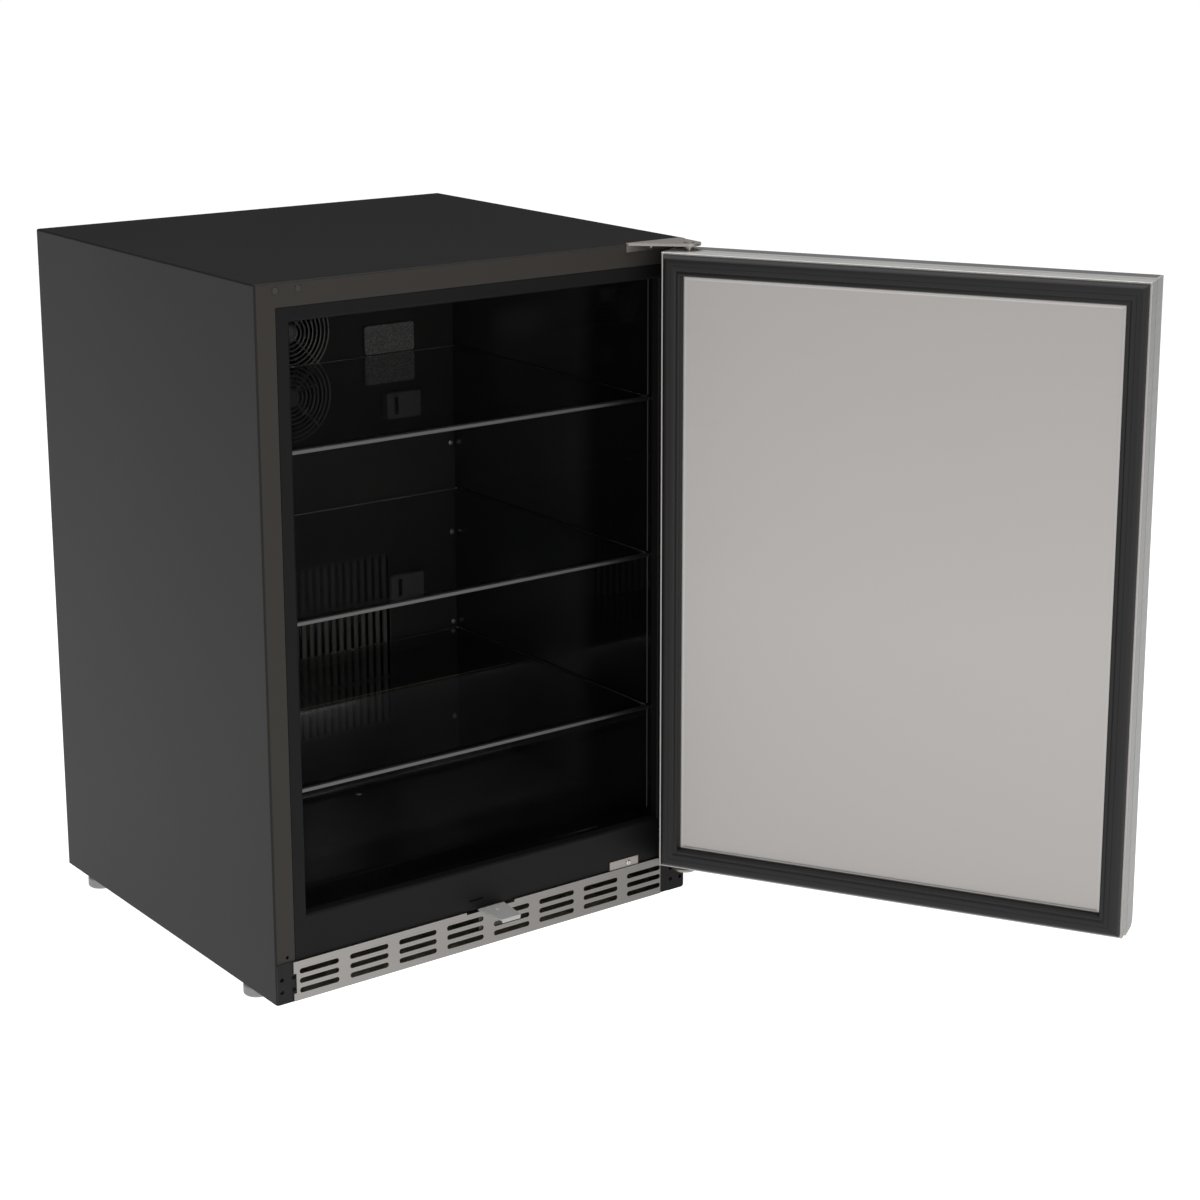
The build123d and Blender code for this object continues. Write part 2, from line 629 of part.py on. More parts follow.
def lower_hinge():
    """Satin steel bracket below the door: arm, hidden flange and upstanding ear."""
    z0 = LOWER_PLATE_Z
    left = RIGHT - 35.0
    bracket = hinge_arm(z0, left, LOWER_NOSE_R)
    y1 = FRONT - 0.1
    bracket += box(LEFT + 478.5, left + 6.0, EAR_Y, y1, z0 - 2.0, z0 + HINGE_T)
    bracket += box(LEFT + 478.5, LEFT + 523.0, EAR_Y, y1, z0, BASE + 60.5)
    bracket -= rod(1.6, (LEFT + 507.5, FRONT - 4, BASE + 54.6), (LEFT + 507.5, FRONT, BASE + 54.6))
    return bracket - rod(PIN_R, (PIN_X, PIN_Y, z0 - 1), (PIN_X, PIN_Y, z0 + HINGE_T + 1))


def upper_hinge_pin():
    """Pin pressed through the upper arm and down into the door."""
    z1 = UPPER_PLATE_Z + HINGE_T
    pin = rod(PIN_R, (PIN_X, PIN_Y, DOOR_TOP_Z - 15.0), (PIN_X, PIN_Y, z1))
    head = rod(6.5, (PIN_X, PIN_Y, z1), (PIN_X, PIN_Y, z1 + 1.2))
    collar = rod(7.0, (PIN_X, PIN_Y, DOOR_TOP_Z + 3.0), (PIN_X, PIN_Y, UPPER_PLATE_Z))
    return pin + head + collar


def lower_hinge_pin():
    """Pin pressed through the lower arm that carries the door's weight."""
    z0 = LOWER_PLATE_Z
    pin = rod(PIN_R, (PIN_X, PIN_Y, z0), (PIN_X, PIN_Y, PAN_BOTTOM_Z + 14.0))
    return pin + rod(7.0, (PIN_X, PIN_Y, z0 + HINGE_T), (PIN_X, PIN_Y, SKIN_BOTTOM_Z - 0.1))


def screw(x, z, y_face, head_r, shank):
    """A pan-head screw driven into the cabinet along Y."""
    body = rod(head_r, (x, y_face - 1.4, z), (x, y_face, z))
    body = fillet(body.edges().filter_by(lambda e: e.center().Y < y_face - 1.3), 0.9)
    return body + rod(1.5, (x, y_face, z), (x, y_face + shank, z))


def upper_hinge_screws():
    """Two screws that hold the upper hinge to the top rail."""
    z = TOP - 5.5
    return Compound([screw(x, z, SCREW_FACE_Y, 2.8, 0.9) for x in HINGE_SCREW_X])


def lower_hinge_screw():
    """Screw in the lower hinge's ear."""
    return screw(LEFT + 507.5, BASE + 54.6, EAR_Y, 3.4, 1.1)


def hinge_plugs():
    """Push-in plugs that fill the unused left-hand hinge holes."""
    caps = []
    for from_side in (25.4, 54.0):
        x = LEFT + from_side
        z = TOP - 8.6
        cap = rod(3.8, (x, FRONT - 1.0, z), (x, FRONT, z))
        caps.append(fillet(cap.edges().filter_by(lambda e: e.center().Y < FRONT - 0.9), 0.7))
    return Compound(caps)


# ---- feet ----


def foot_places():
    """Centres of the four levelling feet."""
    x = RIGHT - 24.0
    return [(-x, FRONT + 90.0), (x, FRONT + 90.0), (-x, BACK - 45.0), (x, BACK - 45.0)]


def levelling_foot(px, py):
    """Turned foot: a domed pad and a stem that screws up into the base pan."""
    pad = rod(FOOT_PAD_R, (px, py, 0), (px, py, FOOT_H - 8.0))
    rims = [e for e in pad.edges() if e.geom_type == GeomType.CIRCLE]
    pad = fillet(rims, 3.0)
    nut = rod(8.5, (px, py, FOOT_H - 8.0), (px, py, FOOT_H - 1.0))
    return pad + nut + rod(FOOT_STEM_R, (px, py, FOOT_H - 2.0), (px, py, BASE + 26.0))


# ---- machine bay ----


def compressor():
    """Hermetic compressor can on its mounting foot."""
    base_z = BASE + 14.0
    can = rod(58.0, (COMP_X, COMP_Y, base_z + 4.0), (COMP_X, COMP_Y, base_z + 138.0))
    ends = [e for e in can.edges() if e.geom_type == GeomType.CIRCLE]
    can = fillet(ends, 26.0)
    band = rod(60.0, (COMP_X, COMP_Y, base_z + 66.0), (COMP_X, COMP_Y, base_z + 74.0))
    plate = box(COMP_X - 78, COMP_X + 78, COMP_Y - 50, COMP_Y + 50, base_z, base_z + 4.0)
    terminal = box(COMP_X + 50, COMP_X + 74, COMP_Y - 22, COMP_Y + 22, base_z + 40, base_z + 84)
    return can + band + plate + terminal


def compressor_mounts():
    """Four rubber isolators under the compressor foot."""
    pads = []
    for dx in (-66.0, 66.0):
        for dy in (-38.0, 38.0):
            start = (COMP_X + dx, COMP_Y + dy, BASE + 2.0)
            end = (COMP_X + dx, COMP_Y + dy, BASE + 14.0)
            pads.append(rod(10.0, start, end))
    return Compound(pads)


def condenser_coil():
    """Wire-and-tube condenser pack beside the compressor."""
    x0 = 60.0
    x1 = 262.0
    y0 = HUMP_Y + 38.0
    y1 = COND_FAN_Y - 6.0
    coil = None
    for index in range(15):
        x = x0 + 6.0 + index * (x1 - x0 - 12.0) / 14
        fin = box(x - 0.6, x + 0.6, y0, y1, BASE + 20.0, BASE + 160.0)
        coil = fin if coil is None else coil + fin
    for row in range(5):
        z = BASE + 34.0 + row * 28.0
        for y in (y0 + 14.0, y1 - 14.0):
            coil += rod(3.2, (x0, y, z), (x1, y, z))
    return coil


def moved_x(shape):
    """Shift a fan from the middle to the condenser's centre line."""
    return Pos(COND_FAN_X, 0, 0) * shape


def suction_line():
    """Copper return line from the top of the compressor back and up to the evaporator."""
    x = COMP_X - 20.0
    y = BACK - 34.0
    bend_z = BASE + 168.0
    line = rod(3.5, (x, COMP_Y, BASE + 152.0), (x, COMP_Y, bend_z))
    line += Pos(x, COMP_Y, bend_z) * Sphere(3.5)
    line += rod(3.5, (x, COMP_Y, bend_z), (x, y, bend_z + 8.0))
    line += Pos(x, y, bend_z + 8.0) * Sphere(3.5)
    return line + rod(3.5, (x, y, bend_z + 8.0), (x, y, HUMP_Z - 26.0))


def drain_tray():
    """Tray above the base that catches and evaporates defrost water."""
    y0 = FRONT + 60.0
    y1 = HUMP_Y - 40.0
    tray = box(-120.0, 120.0, y0 + 60.0, y1, BASE + 2.2, BASE + 30.0)
    return tray - box(-117.0, 117.0, y0 + 63.0, y1 - 3.0, BASE + 4.5, BASE + 31.0)


# ---- door, drawn shut ----

def door_skin():
    """Outer stainless shell of the door: face and four sides."""
    y0 = DOOR_OUTER_Y
    y1 = DOOR_OUTER_Y + SKIN_T
    shell = box(DOOR_LEFT, DOOR_RIGHT, y0, y1, SKIN_BOTTOM_Z, DOOR_TOP_Z)
    low = edges_along(shell, Axis.X, lambda c: c.Y < y0 + 1 and c.Z < SKIN_BOTTOM_Z + 1)
    shell = fillet(low, 11.0)
    rest = edges_along(shell, Axis.Z, lambda c: c.Y < y0 + 1)
    shell = fillet(rest, 1.5)
    inside = box(
        DOOR_LEFT + SHEET, DOOR_RIGHT - SHEET, y0 + SHEET, y1 + 1,
        SKIN_BOTTOM_Z + SHEET, DOOR_TOP_Z - SHEET,
    )
    sill = edges_along(inside, Axis.X, lambda c: c.Y < y0 + 2 and c.Z < SKIN_BOTTOM_Z + 2)
    inside = fillet(sill, 10.0)
    shell -= inside
    shell -= top_cap_space(0.0)
    return shell - pin_passage(DOOR_TOP_Z - 5, DOOR_TOP_Z + 5) - pin_passage(BASE, PAN_BOTTOM_Z)


def top_cap_space(gap):
    """Shallow rebate in the outer half of the door's top edge, less a gap all round."""
    y0 = DOOR_OUTER_Y + 2.0 + gap
    y1 = DOOR_OUTER_Y + SKIN_T - 11.0 - gap
    x0 = DOOR_LEFT + 3.0 + gap
    x1 = DOOR_RIGHT - 3.0 - gap
    return box(x0, x1, y0, y1, DOOR_TOP_Z - 0.8, DOOR_TOP_Z - gap)


def door_top_cap():
    """Grey trim strip let into the top edge of the outer skin."""
    cap = top_cap_space(0.15)
    return cap - pin_passage(DOOR_TOP_Z - 5, DOOR_TOP_Z + 5)


def pin_passage(z0, z1):
    """Hole that each hinge bush sits in."""
    return rod(BUSH_R, (PIN_X, PIN_Y, z0), (PIN_X, PIN_Y, z1))


def door_inner_pan():
    """Inner stainless pan that faces the food compartment."""
    y0 = DOOR_INNER_Y - PAN_T
    y1 = DOOR_INNER_Y
    pan = box(DOOR_LEFT, DOOR_RIGHT, y0, y1, PAN_BOTTOM_Z, DOOR_TOP_Z)
    pan -= box(
        DOOR_LEFT + SHEET, DOOR_RIGHT - SHEET, y0 - 1, y1 - SHEET,
        PAN_BOTTOM_Z + SHEET, DOOR_TOP_Z - SHEET,
    )
    upright = edges_along(pan, Axis.Z, lambda c: c.Y > y1 - 0.1 and abs(c.X) > 280)
    level = edges_along(pan, Axis.X, lambda c: c.Y > y1 - 0.1 and is_pan_rim(c.Z))
    pan = fillet(upright + level, 1.0)
    return pan - pin_passage(DOOR_TOP_Z - 5, DOOR_TOP_Z + 5) - pin_passage(BASE, PAN_BOTTOM_Z + 5)


def is_pan_rim(z):
    """Whether a height lies on the outer top or bottom edge of the inner pan."""
    return abs(z - DOOR_TOP_Z) < 0.1 or abs(z - PAN_BOTTOM_Z) < 0.1


def door_foam():
    """Insulation that fills the door between its two skins."""
    inner = DOOR_INNER_Y - SHEET
    split = DOOR_INNER_Y - PAN_T - SEAM / 2
    outer = DOOR_OUTER_Y + SHEET
    x0 = DOOR_LEFT + SHEET
    x1 = DOOR_RIGHT - SHEET
    top = DOOR_TOP_Z - SHEET
    foam = box(x0, x1, split, inner, PAN_BOTTOM_Z + SHEET, top)
    core = box(x0, x1, outer, split, SKIN_BOTTOM_Z + SHEET, top)
    sill = edges_along(core, Axis.X, lambda c: c.Y < outer + 1 and c.Z < SKIN_BOTTOM_Z + 2)
    foam += fillet(sill, 10.0)
    top_bush = rod(BUSH_R, (PIN_X, PIN_Y, DOOR_TOP_Z - BUSH_LEN), (PIN_X, PIN_Y, TOP))
    low_bush = rod(BUSH_R, (PIN_X, PIN_Y, BASE), (PIN_X, PIN_Y, PAN_BOTTOM_Z + BUSH_LEN))
    return foam - top_bush - low_bush - door_seam_strip()


def door_seam_strip():
    """Dark plastic strip in the joint between the two door skins."""
    y0 = DOOR_INNER_Y - PAN_T - SEAM
    y1 = DOOR_INNER_Y - PAN_T
    inset = 1.0
    ring = box(
        DOOR_LEFT + inset, DOOR_RIGHT - inset, y0, y1,
        PAN_BOTTOM_Z + inset, DOOR_TOP_Z - inset,
    )
    hole = inset + 8.0
    ring -= box(
        DOOR_LEFT + hole, DOOR_RIGHT - hole, y0 - 1, y1 + 1,
        PAN_BOTTOM_Z + hole, DOOR_TOP_Z - hole,
    )
    return ring - pin_passage(DOOR_TOP_Z - 20, DOOR_TOP_Z) - pin_passage(BASE, PAN_BOTTOM_Z + 20)


def door_gasket():
    """Magnetic bellows gasket: a broad rounded seal with a ridge along its inner edge."""
    y = DOOR_INNER_Y
    left = DOOR_LEFT + GASKET_FREE_INSET
    right = DOOR_RIGHT - GASKET_HINGE_INSET
    bottom = PAN_BOTTOM_Z + GASKET_BOTTOM_INSET
    top = DOOR_TOP_Z - GASKET_TOP_INSET

    def ring(outset, width, height, outer_round, inner_round):
        """A rectangular loop of one cross-section, lying on the pan."""
        x0 = left + outset
        x1 = right - outset
        z0 = bottom + outset
        z1 = top - outset
        loop = box(x0, x1, y, y + height, z0, z1)
        rim = [e for e in loop.edges() if e.center().Y > y + height - 0.1]
        loop = fillet(rim, outer_round)
        hole = box(x0 + width, x1 - width, y - 1, y + height + 1, z0 + width, z1 - width)
        loop -= hole
        inner = []
        for edge in loop.edges():
            c = edge.center()
            within = x0 + width - 0.1 < c.X < x1 - width + 0.1
            if c.Y > y + height - 0.1 and within and z0 + width - 0.1 < c.Z < z1 - width + 0.1:
                inner.append(edge)
        return fillet(inner, inner_round)

    seal = ring(0.0, SEAL_W, GASKET_H, 9.0, 3.0)
    web = ring(SEAL_W - 1.0, GASKET_W - SEAL_W, 4.2, 0.8, 0.8)
    ridge = ring(GASKET_W - 4.5, 4.5, 6.0, 1.6, 1.6)
    return seal + web + ridge


def handle_bar():
    """Full-length tubular pull handle with closed ends."""
    x = DOOR_LEFT + HANDLE_FROM_EDGE
    y = DOOR_OUTER_Y - HANDLE_STANDOFF
    bar = rod(HANDLE_R, (x, y, BASE + HANDLE_BOTTOM), (x, y, BASE + HANDLE_TOP))
    ends = [e for e in bar.edges() if e.geom_type == GeomType.CIRCLE]
    bar = fillet(ends, 1.5)
    wall = 1.5
    bore = rod(HANDLE_R - wall, (x, y, BASE + HANDLE_BOTTOM + 3), (x, y, BASE + HANDLE_TOP - 3))
    return bar - bore


def handle_post(post_z):
    """Stand-off between the door face and the handle."""
    x = DOOR_LEFT + HANDLE_FROM_EDGE
    y1 = DOOR_OUTER_Y
    y0 = DOOR_OUTER_Y - HANDLE_STANDOFF + HANDLE_R - 0.6
    post = rod(7.0, (x, y0, post_z), (x, y1, post_z))
    foot = rod(10.0, (x, y1 - 3.0, post_z), (x, y1, post_z))
    bar_y = y1 - HANDLE_STANDOFF
    grip = rod(HANDLE_R, (x, bar_y, post_z - 12), (x, bar_y, post_z + 12))
    return post + foot - grip


def door_bush(z0, z1):
    """Plain bush that the hinge pin turns in."""
    return rod(BUSH_R, (PIN_X, PIN_Y, z0), (PIN_X, PIN_Y, z1))


def upper_bush():
    """Upper bush, open at the top to take the upper pin."""
    sleeve = door_bush(DOOR_TOP_Z - BUSH_LEN, DOOR_TOP_Z)
    bore_r = PIN_R + RUNNING_FIT
    return sleeve - rod(bore_r, (PIN_X, PIN_Y, DOOR_TOP_Z - 16.0), (PIN_X, PIN_Y, DOOR_TOP_Z + 1))


def lower_bush():
    """Lower bush, open at the bottom to sit on the lower pin."""
    sleeve = door_bush(SKIN_BOTTOM_Z + 0.4, PAN_BOTTOM_Z + BUSH_LEN)
    bore_r = PIN_R + RUNNING_FIT
    return sleeve - rod(bore_r, (PIN_X, PIN_Y, BASE), (PIN_X, PIN_Y, PAN_BOTTOM_Z + 15.0))


def swing(shape):
    """Turn a door part from shut to its standing-open angle."""
    pin = Axis((PIN_X, PIN_Y, 0), (0, 0, 1))
    return shape.rotate(pin, DOOR_OPEN)


# ---- assembly ----
parts["outer_case"] = outer_case()
parts["rear_panel"] = rear_panel()
parts["rear_cover"] = rear_cover()
parts["rear_screws"] = rear_screws()
parts["base_pan"] = base_pan()
parts["foam_insulation"] = foam_insulation()
parts["front_frame"] = front_frame()
parts["inner_liner"] = inner_liner()
parts["duct_cover"] = duct_cover()
parts["fan_guard"] = fan_guard()
parts["cover_screws"] = cover_screws()
parts["evaporator_fan_frame"] = fan_frame(
    EVAP_FAN_Y, FAN_Z, EVAP_FAN_SIZE, EVAP_ROTOR_R + 2.0, EVAP_FAN_DEPTH)
parts["evaporator_fan_blades"] = fan_blades(EVAP_FAN_Y, FAN_Z, EVAP_ROTOR_R, EVAP_FAN_DEPTH)
parts["evaporator_coil"] = evaporator_coil()
parts["lamp_housing"] = lamp_housing()
parts["lamp_board"] = lamp_board()
parts["lamp_lens"] = lamp_lens()
parts["thermostat_housing"] = thermostat_housing()
parts["thermostat_wheel"] = thermostat_wheel()
for number, shelf_height in enumerate(SHELF_Z, start=1):
    parts[f"shelf_glass_{number}"] = shelf_glass(shelf_height)
    parts[f"shelf_trim_{number}"] = shelf_trim(shelf_height)
parts["kick_plate"] = kick_plate()
parts["corner_plate_left"] = corner_plate(-1)
parts["corner_plate_right"] = corner_plate(1)
parts["lock_strike"] = lock_strike()
parts["upper_hinge"] = upper_hinge()
parts["lower_hinge"] = lower_hinge()
parts["upper_hinge_pin"] = upper_hinge_pin()
parts["lower_hinge_pin"] = lower_hinge_pin()
parts["upper_hinge_screws"] = upper_hinge_screws()
parts["lower_hinge_screw"] = lower_hinge_screw()
parts["hinge_plugs"] = hinge_plugs()
foot_names = ("foot_front_left", "foot_front_right", "foot_back_left", "foot_back_right")
for name, place in zip(foot_names, foot_places()):
    parts[name] = levelling_foot(*place)
parts["compressor"] = compressor()
parts["compressor_mounts"] = compressor_mounts()
parts["condenser_coil"] = condenser_coil()
parts["condenser_fan_frame"] = moved_x(
    fan_frame(COND_FAN_Y, COND_FAN_Z, EVAP_FAN_SIZE, EVAP_ROTOR_R + 2.0, EVAP_FAN_DEPTH))
parts["condenser_fan_blades"] = moved_x(
    fan_blades(COND_FAN_Y, COND_FAN_Z, EVAP_ROTOR_R, EVAP_FAN_DEPTH))
parts["suction_line"] = suction_line()
parts["drain_tray"] = drain_tray()

parts["door_skin"] = swing(door_skin())
parts["door_inner_pan"] = swing(door_inner_pan())
parts["door_seam_strip"] = swing(door_seam_strip())
parts["door_top_cap"] = swing(door_top_cap())
parts["door_foam"] = swing(door_foam())
parts["door_gasket"] = swing(door_gasket())
parts["handle_bar"] = swing(handle_bar())
parts["handle_post_upper"] = swing(handle_post(BASE + HANDLE_TOP - 60.0))
parts["handle_post_lower"] = swing(handle_post(BASE + HANDLE_BOTTOM + 60.0))
parts["door_bush_upper"] = swing(upper_bush())
parts["door_bush_lower"] = swing(lower_bush())

os.makedirs("parts", exist_ok=True)
for node, shape in parts.items():
    export_step(shape, f"parts/{node}.step")
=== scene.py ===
import json
import math

import bmesh
import bpy
from bpy.props import FloatProperty, FloatVectorProperty, IntProperty, PointerProperty
from mathutils import Matrix, Vector


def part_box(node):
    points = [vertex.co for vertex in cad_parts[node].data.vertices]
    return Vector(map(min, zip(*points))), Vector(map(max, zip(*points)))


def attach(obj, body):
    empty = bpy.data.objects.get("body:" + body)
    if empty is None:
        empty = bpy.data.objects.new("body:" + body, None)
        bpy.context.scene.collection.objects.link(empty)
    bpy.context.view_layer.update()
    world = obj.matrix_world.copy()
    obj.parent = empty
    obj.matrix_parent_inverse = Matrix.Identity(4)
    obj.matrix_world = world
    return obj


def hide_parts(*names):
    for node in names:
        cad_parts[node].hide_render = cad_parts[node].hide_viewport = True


bl_info = {
    "name": "Under-counter Fridge Looks",
    "version": (1, 0, 0),
    "blender": (4, 5, 0),
    "location": "3D View > Sidebar > Fridge",
    "description": "Finishes, trim pieces and studio for an under-counter refrigerator",
    "category": "Object",
}

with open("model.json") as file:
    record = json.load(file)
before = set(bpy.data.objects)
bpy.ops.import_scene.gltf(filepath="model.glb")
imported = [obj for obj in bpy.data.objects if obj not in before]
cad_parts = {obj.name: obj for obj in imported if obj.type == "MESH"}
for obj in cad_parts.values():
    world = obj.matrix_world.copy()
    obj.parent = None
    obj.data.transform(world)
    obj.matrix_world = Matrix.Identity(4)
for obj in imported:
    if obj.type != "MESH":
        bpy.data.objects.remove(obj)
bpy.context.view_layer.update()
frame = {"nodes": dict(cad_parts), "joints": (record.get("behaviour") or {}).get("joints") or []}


# Louvres of the back cover, in metres.
LOUVRE_PITCH = 0.0115
LOUVRE_HALF_WIDTH = 0.1465
LOUVRE_ROWS = ((0.262, 0.323), (0.327, 0.388))

# Depths between which the liner's walls turn from polished to rubbed, and their colour from painted
# shade to painted light, in metres.
POLISH_AND_LIGHT_ENDS = (-0.145, -0.105)

# Smooth pieces stay sharp where two faces meet at more than this.
SHARP_ANGLE = math.radians(38)


def joint_named(name):
    """The record's joint of that name."""
    return next(joint for joint in frame["joints"] if joint["name"] == name)


DOOR_JOINT = joint_named("door_hinge")
DOOR_OPEN = -math.radians(DOOR_JOINT["range_deg"][0])
PIN = Vector(DOOR_JOINT["pos_m"])
TO_OPEN = Matrix.Translation(PIN) @ Matrix.Rotation(DOOR_OPEN, 4, "Z") @ Matrix.Translation(-PIN)
TO_SHUT = TO_OPEN.inverted()


def shut_box(node):
    """Lowest and highest corner of a door part, measured with the door shut."""
    points = [TO_SHUT @ vertex.co for vertex in frame["nodes"][node].data.vertices]
    low = Vector([min(p[axis] for p in points) for axis in range(3)])
    high = Vector([max(p[axis] for p in points) for axis in range(3)])
    return low, high


# ---- sizes and colours ----

class FridgeSizes(bpy.types.PropertyGroup):
    """Sizes of the trim pieces."""

    guard_rings: IntProperty(
        name="Guard rings", description="Wire rings in the fan guard", default=9, min=3, max=14)
    guard_wire: FloatProperty(
        name="Guard wire", description="Radius of the fan guard's wire",
        default=0.0011, min=0.0003, unit="LENGTH")
    rim_width: FloatProperty(
        name="Panel rim", description="Width of the rolled rim round the door's inner panel",
        default=0.0045, min=0.001, unit="LENGTH")
    grain_pitch: FloatProperty(
        name="Steel grain", description="Spacing of the brush lines in the stainless steel",
        default=0.0005, min=0.0001, unit="LENGTH")


class FridgeColours(bpy.types.PropertyGroup):
    """Base colours of the finishes."""

    case: FloatVectorProperty(
        name="Case paint", description="Satin paint on the cabinet", subtype="COLOR",
        default=(0.0158, 0.0154, 0.0150), min=0, max=1)
    gloss: FloatVectorProperty(
        name="Liner", description="Gloss plastic inside the cabinet", subtype="COLOR",
        default=(0.0045, 0.0045, 0.0047), min=0, max=1)
    breaker: FloatVectorProperty(
        name="Front frame", description="Satin plastic round the opening", subtype="COLOR",
        default=(0.0072, 0.0072, 0.0073), min=0, max=1)
    steel: FloatVectorProperty(
        name="Stainless steel", description="Brushed steel of the door and its handle",
        subtype="COLOR", default=(0.385, 0.369, 0.356), min=0, max=1)
    hinge: FloatVectorProperty(
        name="Hinge steel", description="Satin steel of the brackets", subtype="COLOR",
        default=(0.34, 0.318, 0.30), min=0, max=1)
    gasket: FloatVectorProperty(
        name="Gasket", description="Moulded seal round the door", subtype="COLOR",
        default=(0.0125, 0.0125, 0.0127), min=0, max=1)
    glass: FloatVectorProperty(
        name="Shelf glass", description="Tint of the glass shelves", subtype="COLOR",
        default=(0.60, 0.62, 0.61), min=0, max=1)
    floor: FloatVectorProperty(
        name="Floor", description="Studio floor", subtype="COLOR",
        default=(0.42, 0.42, 0.42), min=0, max=1)


# ---- shader building ----

BLACK = (0, 0, 0, 1)


def opaque(colour):
    """A colour with its fourth number."""
    return tuple(colour) + (1,)


def scaled(colour, share):
    """A colour made darker or lighter, with its fourth number."""
    return tuple(min(1.0, part * share) for part in colour) + (1,)


class Value:
    """A shader socket that can be used in a Python expression."""

    def __init__(self, nodes, socket):
        self.nodes = nodes
        self.socket = socket

    def _maths(self, operation, first, second):
        settings = {"operation": operation}
        return self.nodes.node("ShaderNodeMath", settings, {0: first, 1: second})

    def __add__(self, other):
        return self._maths("ADD", self, other)

    def __sub__(self, other):
        return self._maths("SUBTRACT", self, other)

    def __mul__(self, other):
        return self._maths("MULTIPLY", self, other)

    __radd__ = __add__
    __rmul__ = __mul__

    def __rsub__(self, other):
        return self._maths("SUBTRACT", other, self)


class Nodes:
    """A node tree, emptied, whose nodes all come from one method."""

    def __init__(self, tree):
        self.tree = tree
        self.tree.nodes.clear()

    def feed(self, socket, value):
        """Gives a socket a link or a constant."""
        if isinstance(value, Value):
            self.tree.links.new(value.socket, socket)
        else:
            socket.default_value = value

    def node(self, kind, settings, inputs, output=0):
        """Adds a node: its settings first, then the values or links of its sockets."""
        made = self.tree.nodes.new(kind)
        for name, setting in settings.items():
            setattr(made, name, setting)
        for name, value in inputs.items():
            self.feed(made.inputs[name], value)
        return Value(self, made.outputs[output]) if made.outputs else None


class Finish(Nodes):
    """One node material with a Principled shader."""

    def __init__(self, name, **constants):
        self.material = bpy.data.materials.new(name)
        self.material.use_nodes = True
        super().__init__(self.material.node_tree)
        surface = self.node("ShaderNodeBsdfPrincipled", {}, {})
        self.shader = surface.socket.node
        self.node("ShaderNodeOutputMaterial", {}, {"Surface": surface})
        self.place = self.node("ShaderNodeTexCoord", {}, {}, "Object")
        self.set(constants)

    def set(self, sockets):
        """Sets sockets of the Principled shader."""
        for name, value in sockets.items():
            self.feed(self.shader.inputs[name.replace("_", " ")], value)

    def stretched(self, x, y, z):
        """Object coordinates scaled by a different amount along each axis."""
        settings = {"operation": "MULTIPLY"}
        return self.node("ShaderNodeVectorMath", settings, {0: self.place, 1: (x, y, z)})

    def noise(self, scale, detail=2.0, vector=None):
        """Noise between 0 and 1."""
        inputs = {"Vector": vector or self.place, "Scale": scale, "Detail": detail}
        return self.node("ShaderNodeTexNoise", {}, inputs)

    def cells(self, scale, output=0):
        """Voronoi cells: their distance, or a random colour each."""
        return self.node("ShaderNodeTexVoronoi", {}, {"Vector": self.place, "Scale": scale}, output)

    def ramp(self, factor, low, high):
        """A value stretched so that low becomes 0 and high becomes 1."""
        inputs = {"Value": factor, "From Min": low, "From Max": high}
        return self.node("ShaderNodeMapRange", {}, inputs)

    def mix(self, factor, first, second):
        """One colour turned into another."""
        inputs = {0: factor, 6: first, 7: second}
        return self.node("ShaderNodeMix", {"data_type": "RGBA"}, inputs, 2)

    def axis(self, letter):
        """One object coordinate in metres."""
        return self.node("ShaderNodeSeparateXYZ", {}, {0: self.place}, letter)

    def band(self, value, low, high, soft):
        """A mask that is 1 between two values and fades out over a soft margin."""
        rise = self.ramp(value, low - soft, low + soft)
        fall = self.ramp(value, high + soft, high - soft)
        return rise * fall

    def facing(self, direction):
        """A mask of the faces that look in one direction of the part."""
        normal = self.node("ShaderNodeTexCoord", {}, {}, "Normal")
        settings = {"operation": "DOT_PRODUCT"}
        dot = self.node("ShaderNodeVectorMath", settings, {0: normal, 1: direction}, "Value")
        return self.ramp(dot, 0.80, 0.95)

    def tones(self, factor, colour, spread):
        """A colour that drifts darker and lighter by a share of itself."""
        return self.mix(factor, scaled(colour, 1 - spread), scaled(colour, 1 + spread))

    def shade(self, factor, colour, spread):
        """Gives the surface a drifting base colour."""
        self.set({"Base Color": self.tones(factor, colour, spread)})

    def bump(self, height, strength, depth):
        """Raises the surface by a height map."""
        inputs = {"Height": height, "Strength": strength, "Distance": depth}
        self.set({"Normal": self.node("ShaderNodeBump", {}, inputs)})


def painted(name, colour, rough=0.42, level=0.11, front=None, shaded_below=None):
    """Satin powder coat with faint orange peel.

    Faces that look to the front may get a paler colour of their own as painted light, and
    everything below a height may be painted near-black as painted shade.
    """
    finish = Finish(name, Specular_IOR_Level=level)
    cloud = finish.noise(5.0, 3.0)
    peel = finish.noise(1100.0, 2.0)
    shade = finish.tones(cloud, colour, 0.06)
    # Painted light: faces looking to the front take their own paler colour.
    if front:
        shade = finish.mix(finish.facing((0, -1, 0)), shade, opaque(front))
    # Painted shade: below that height the colour turns near-black.
    if shaded_below:
        below = finish.ramp(finish.axis("Z"), shaded_below + 0.0003, shaded_below - 0.0003)
        shade = finish.mix(below, shade, (0.012, 0.012, 0.012, 1))
    finish.set({"Base Color": shade})
    finish.set({"Roughness": finish.ramp(cloud, -2.0, 3.0) * 0.2 + (rough - 0.1)})
    finish.bump(peel, 0.10, 0.0004)
    return finish.material


def moulded(name, colour, rough, grain, strength=0.18, level=0.4):
    """Moulded plastic or rubber with a fine spark-eroded grain."""
    finish = Finish(name, Specular_IOR_Level=level)
    speck = finish.noise(grain, 3.0)
    cloud = finish.noise(9.0, 2.0)
    finish.shade(cloud * 0.6 + speck * 0.4, colour, 0.10)
    finish.set({"Roughness": speck * 0.16 + (rough - 0.08)})
    finish.bump(speck, strength, 0.0003)
    return finish.material


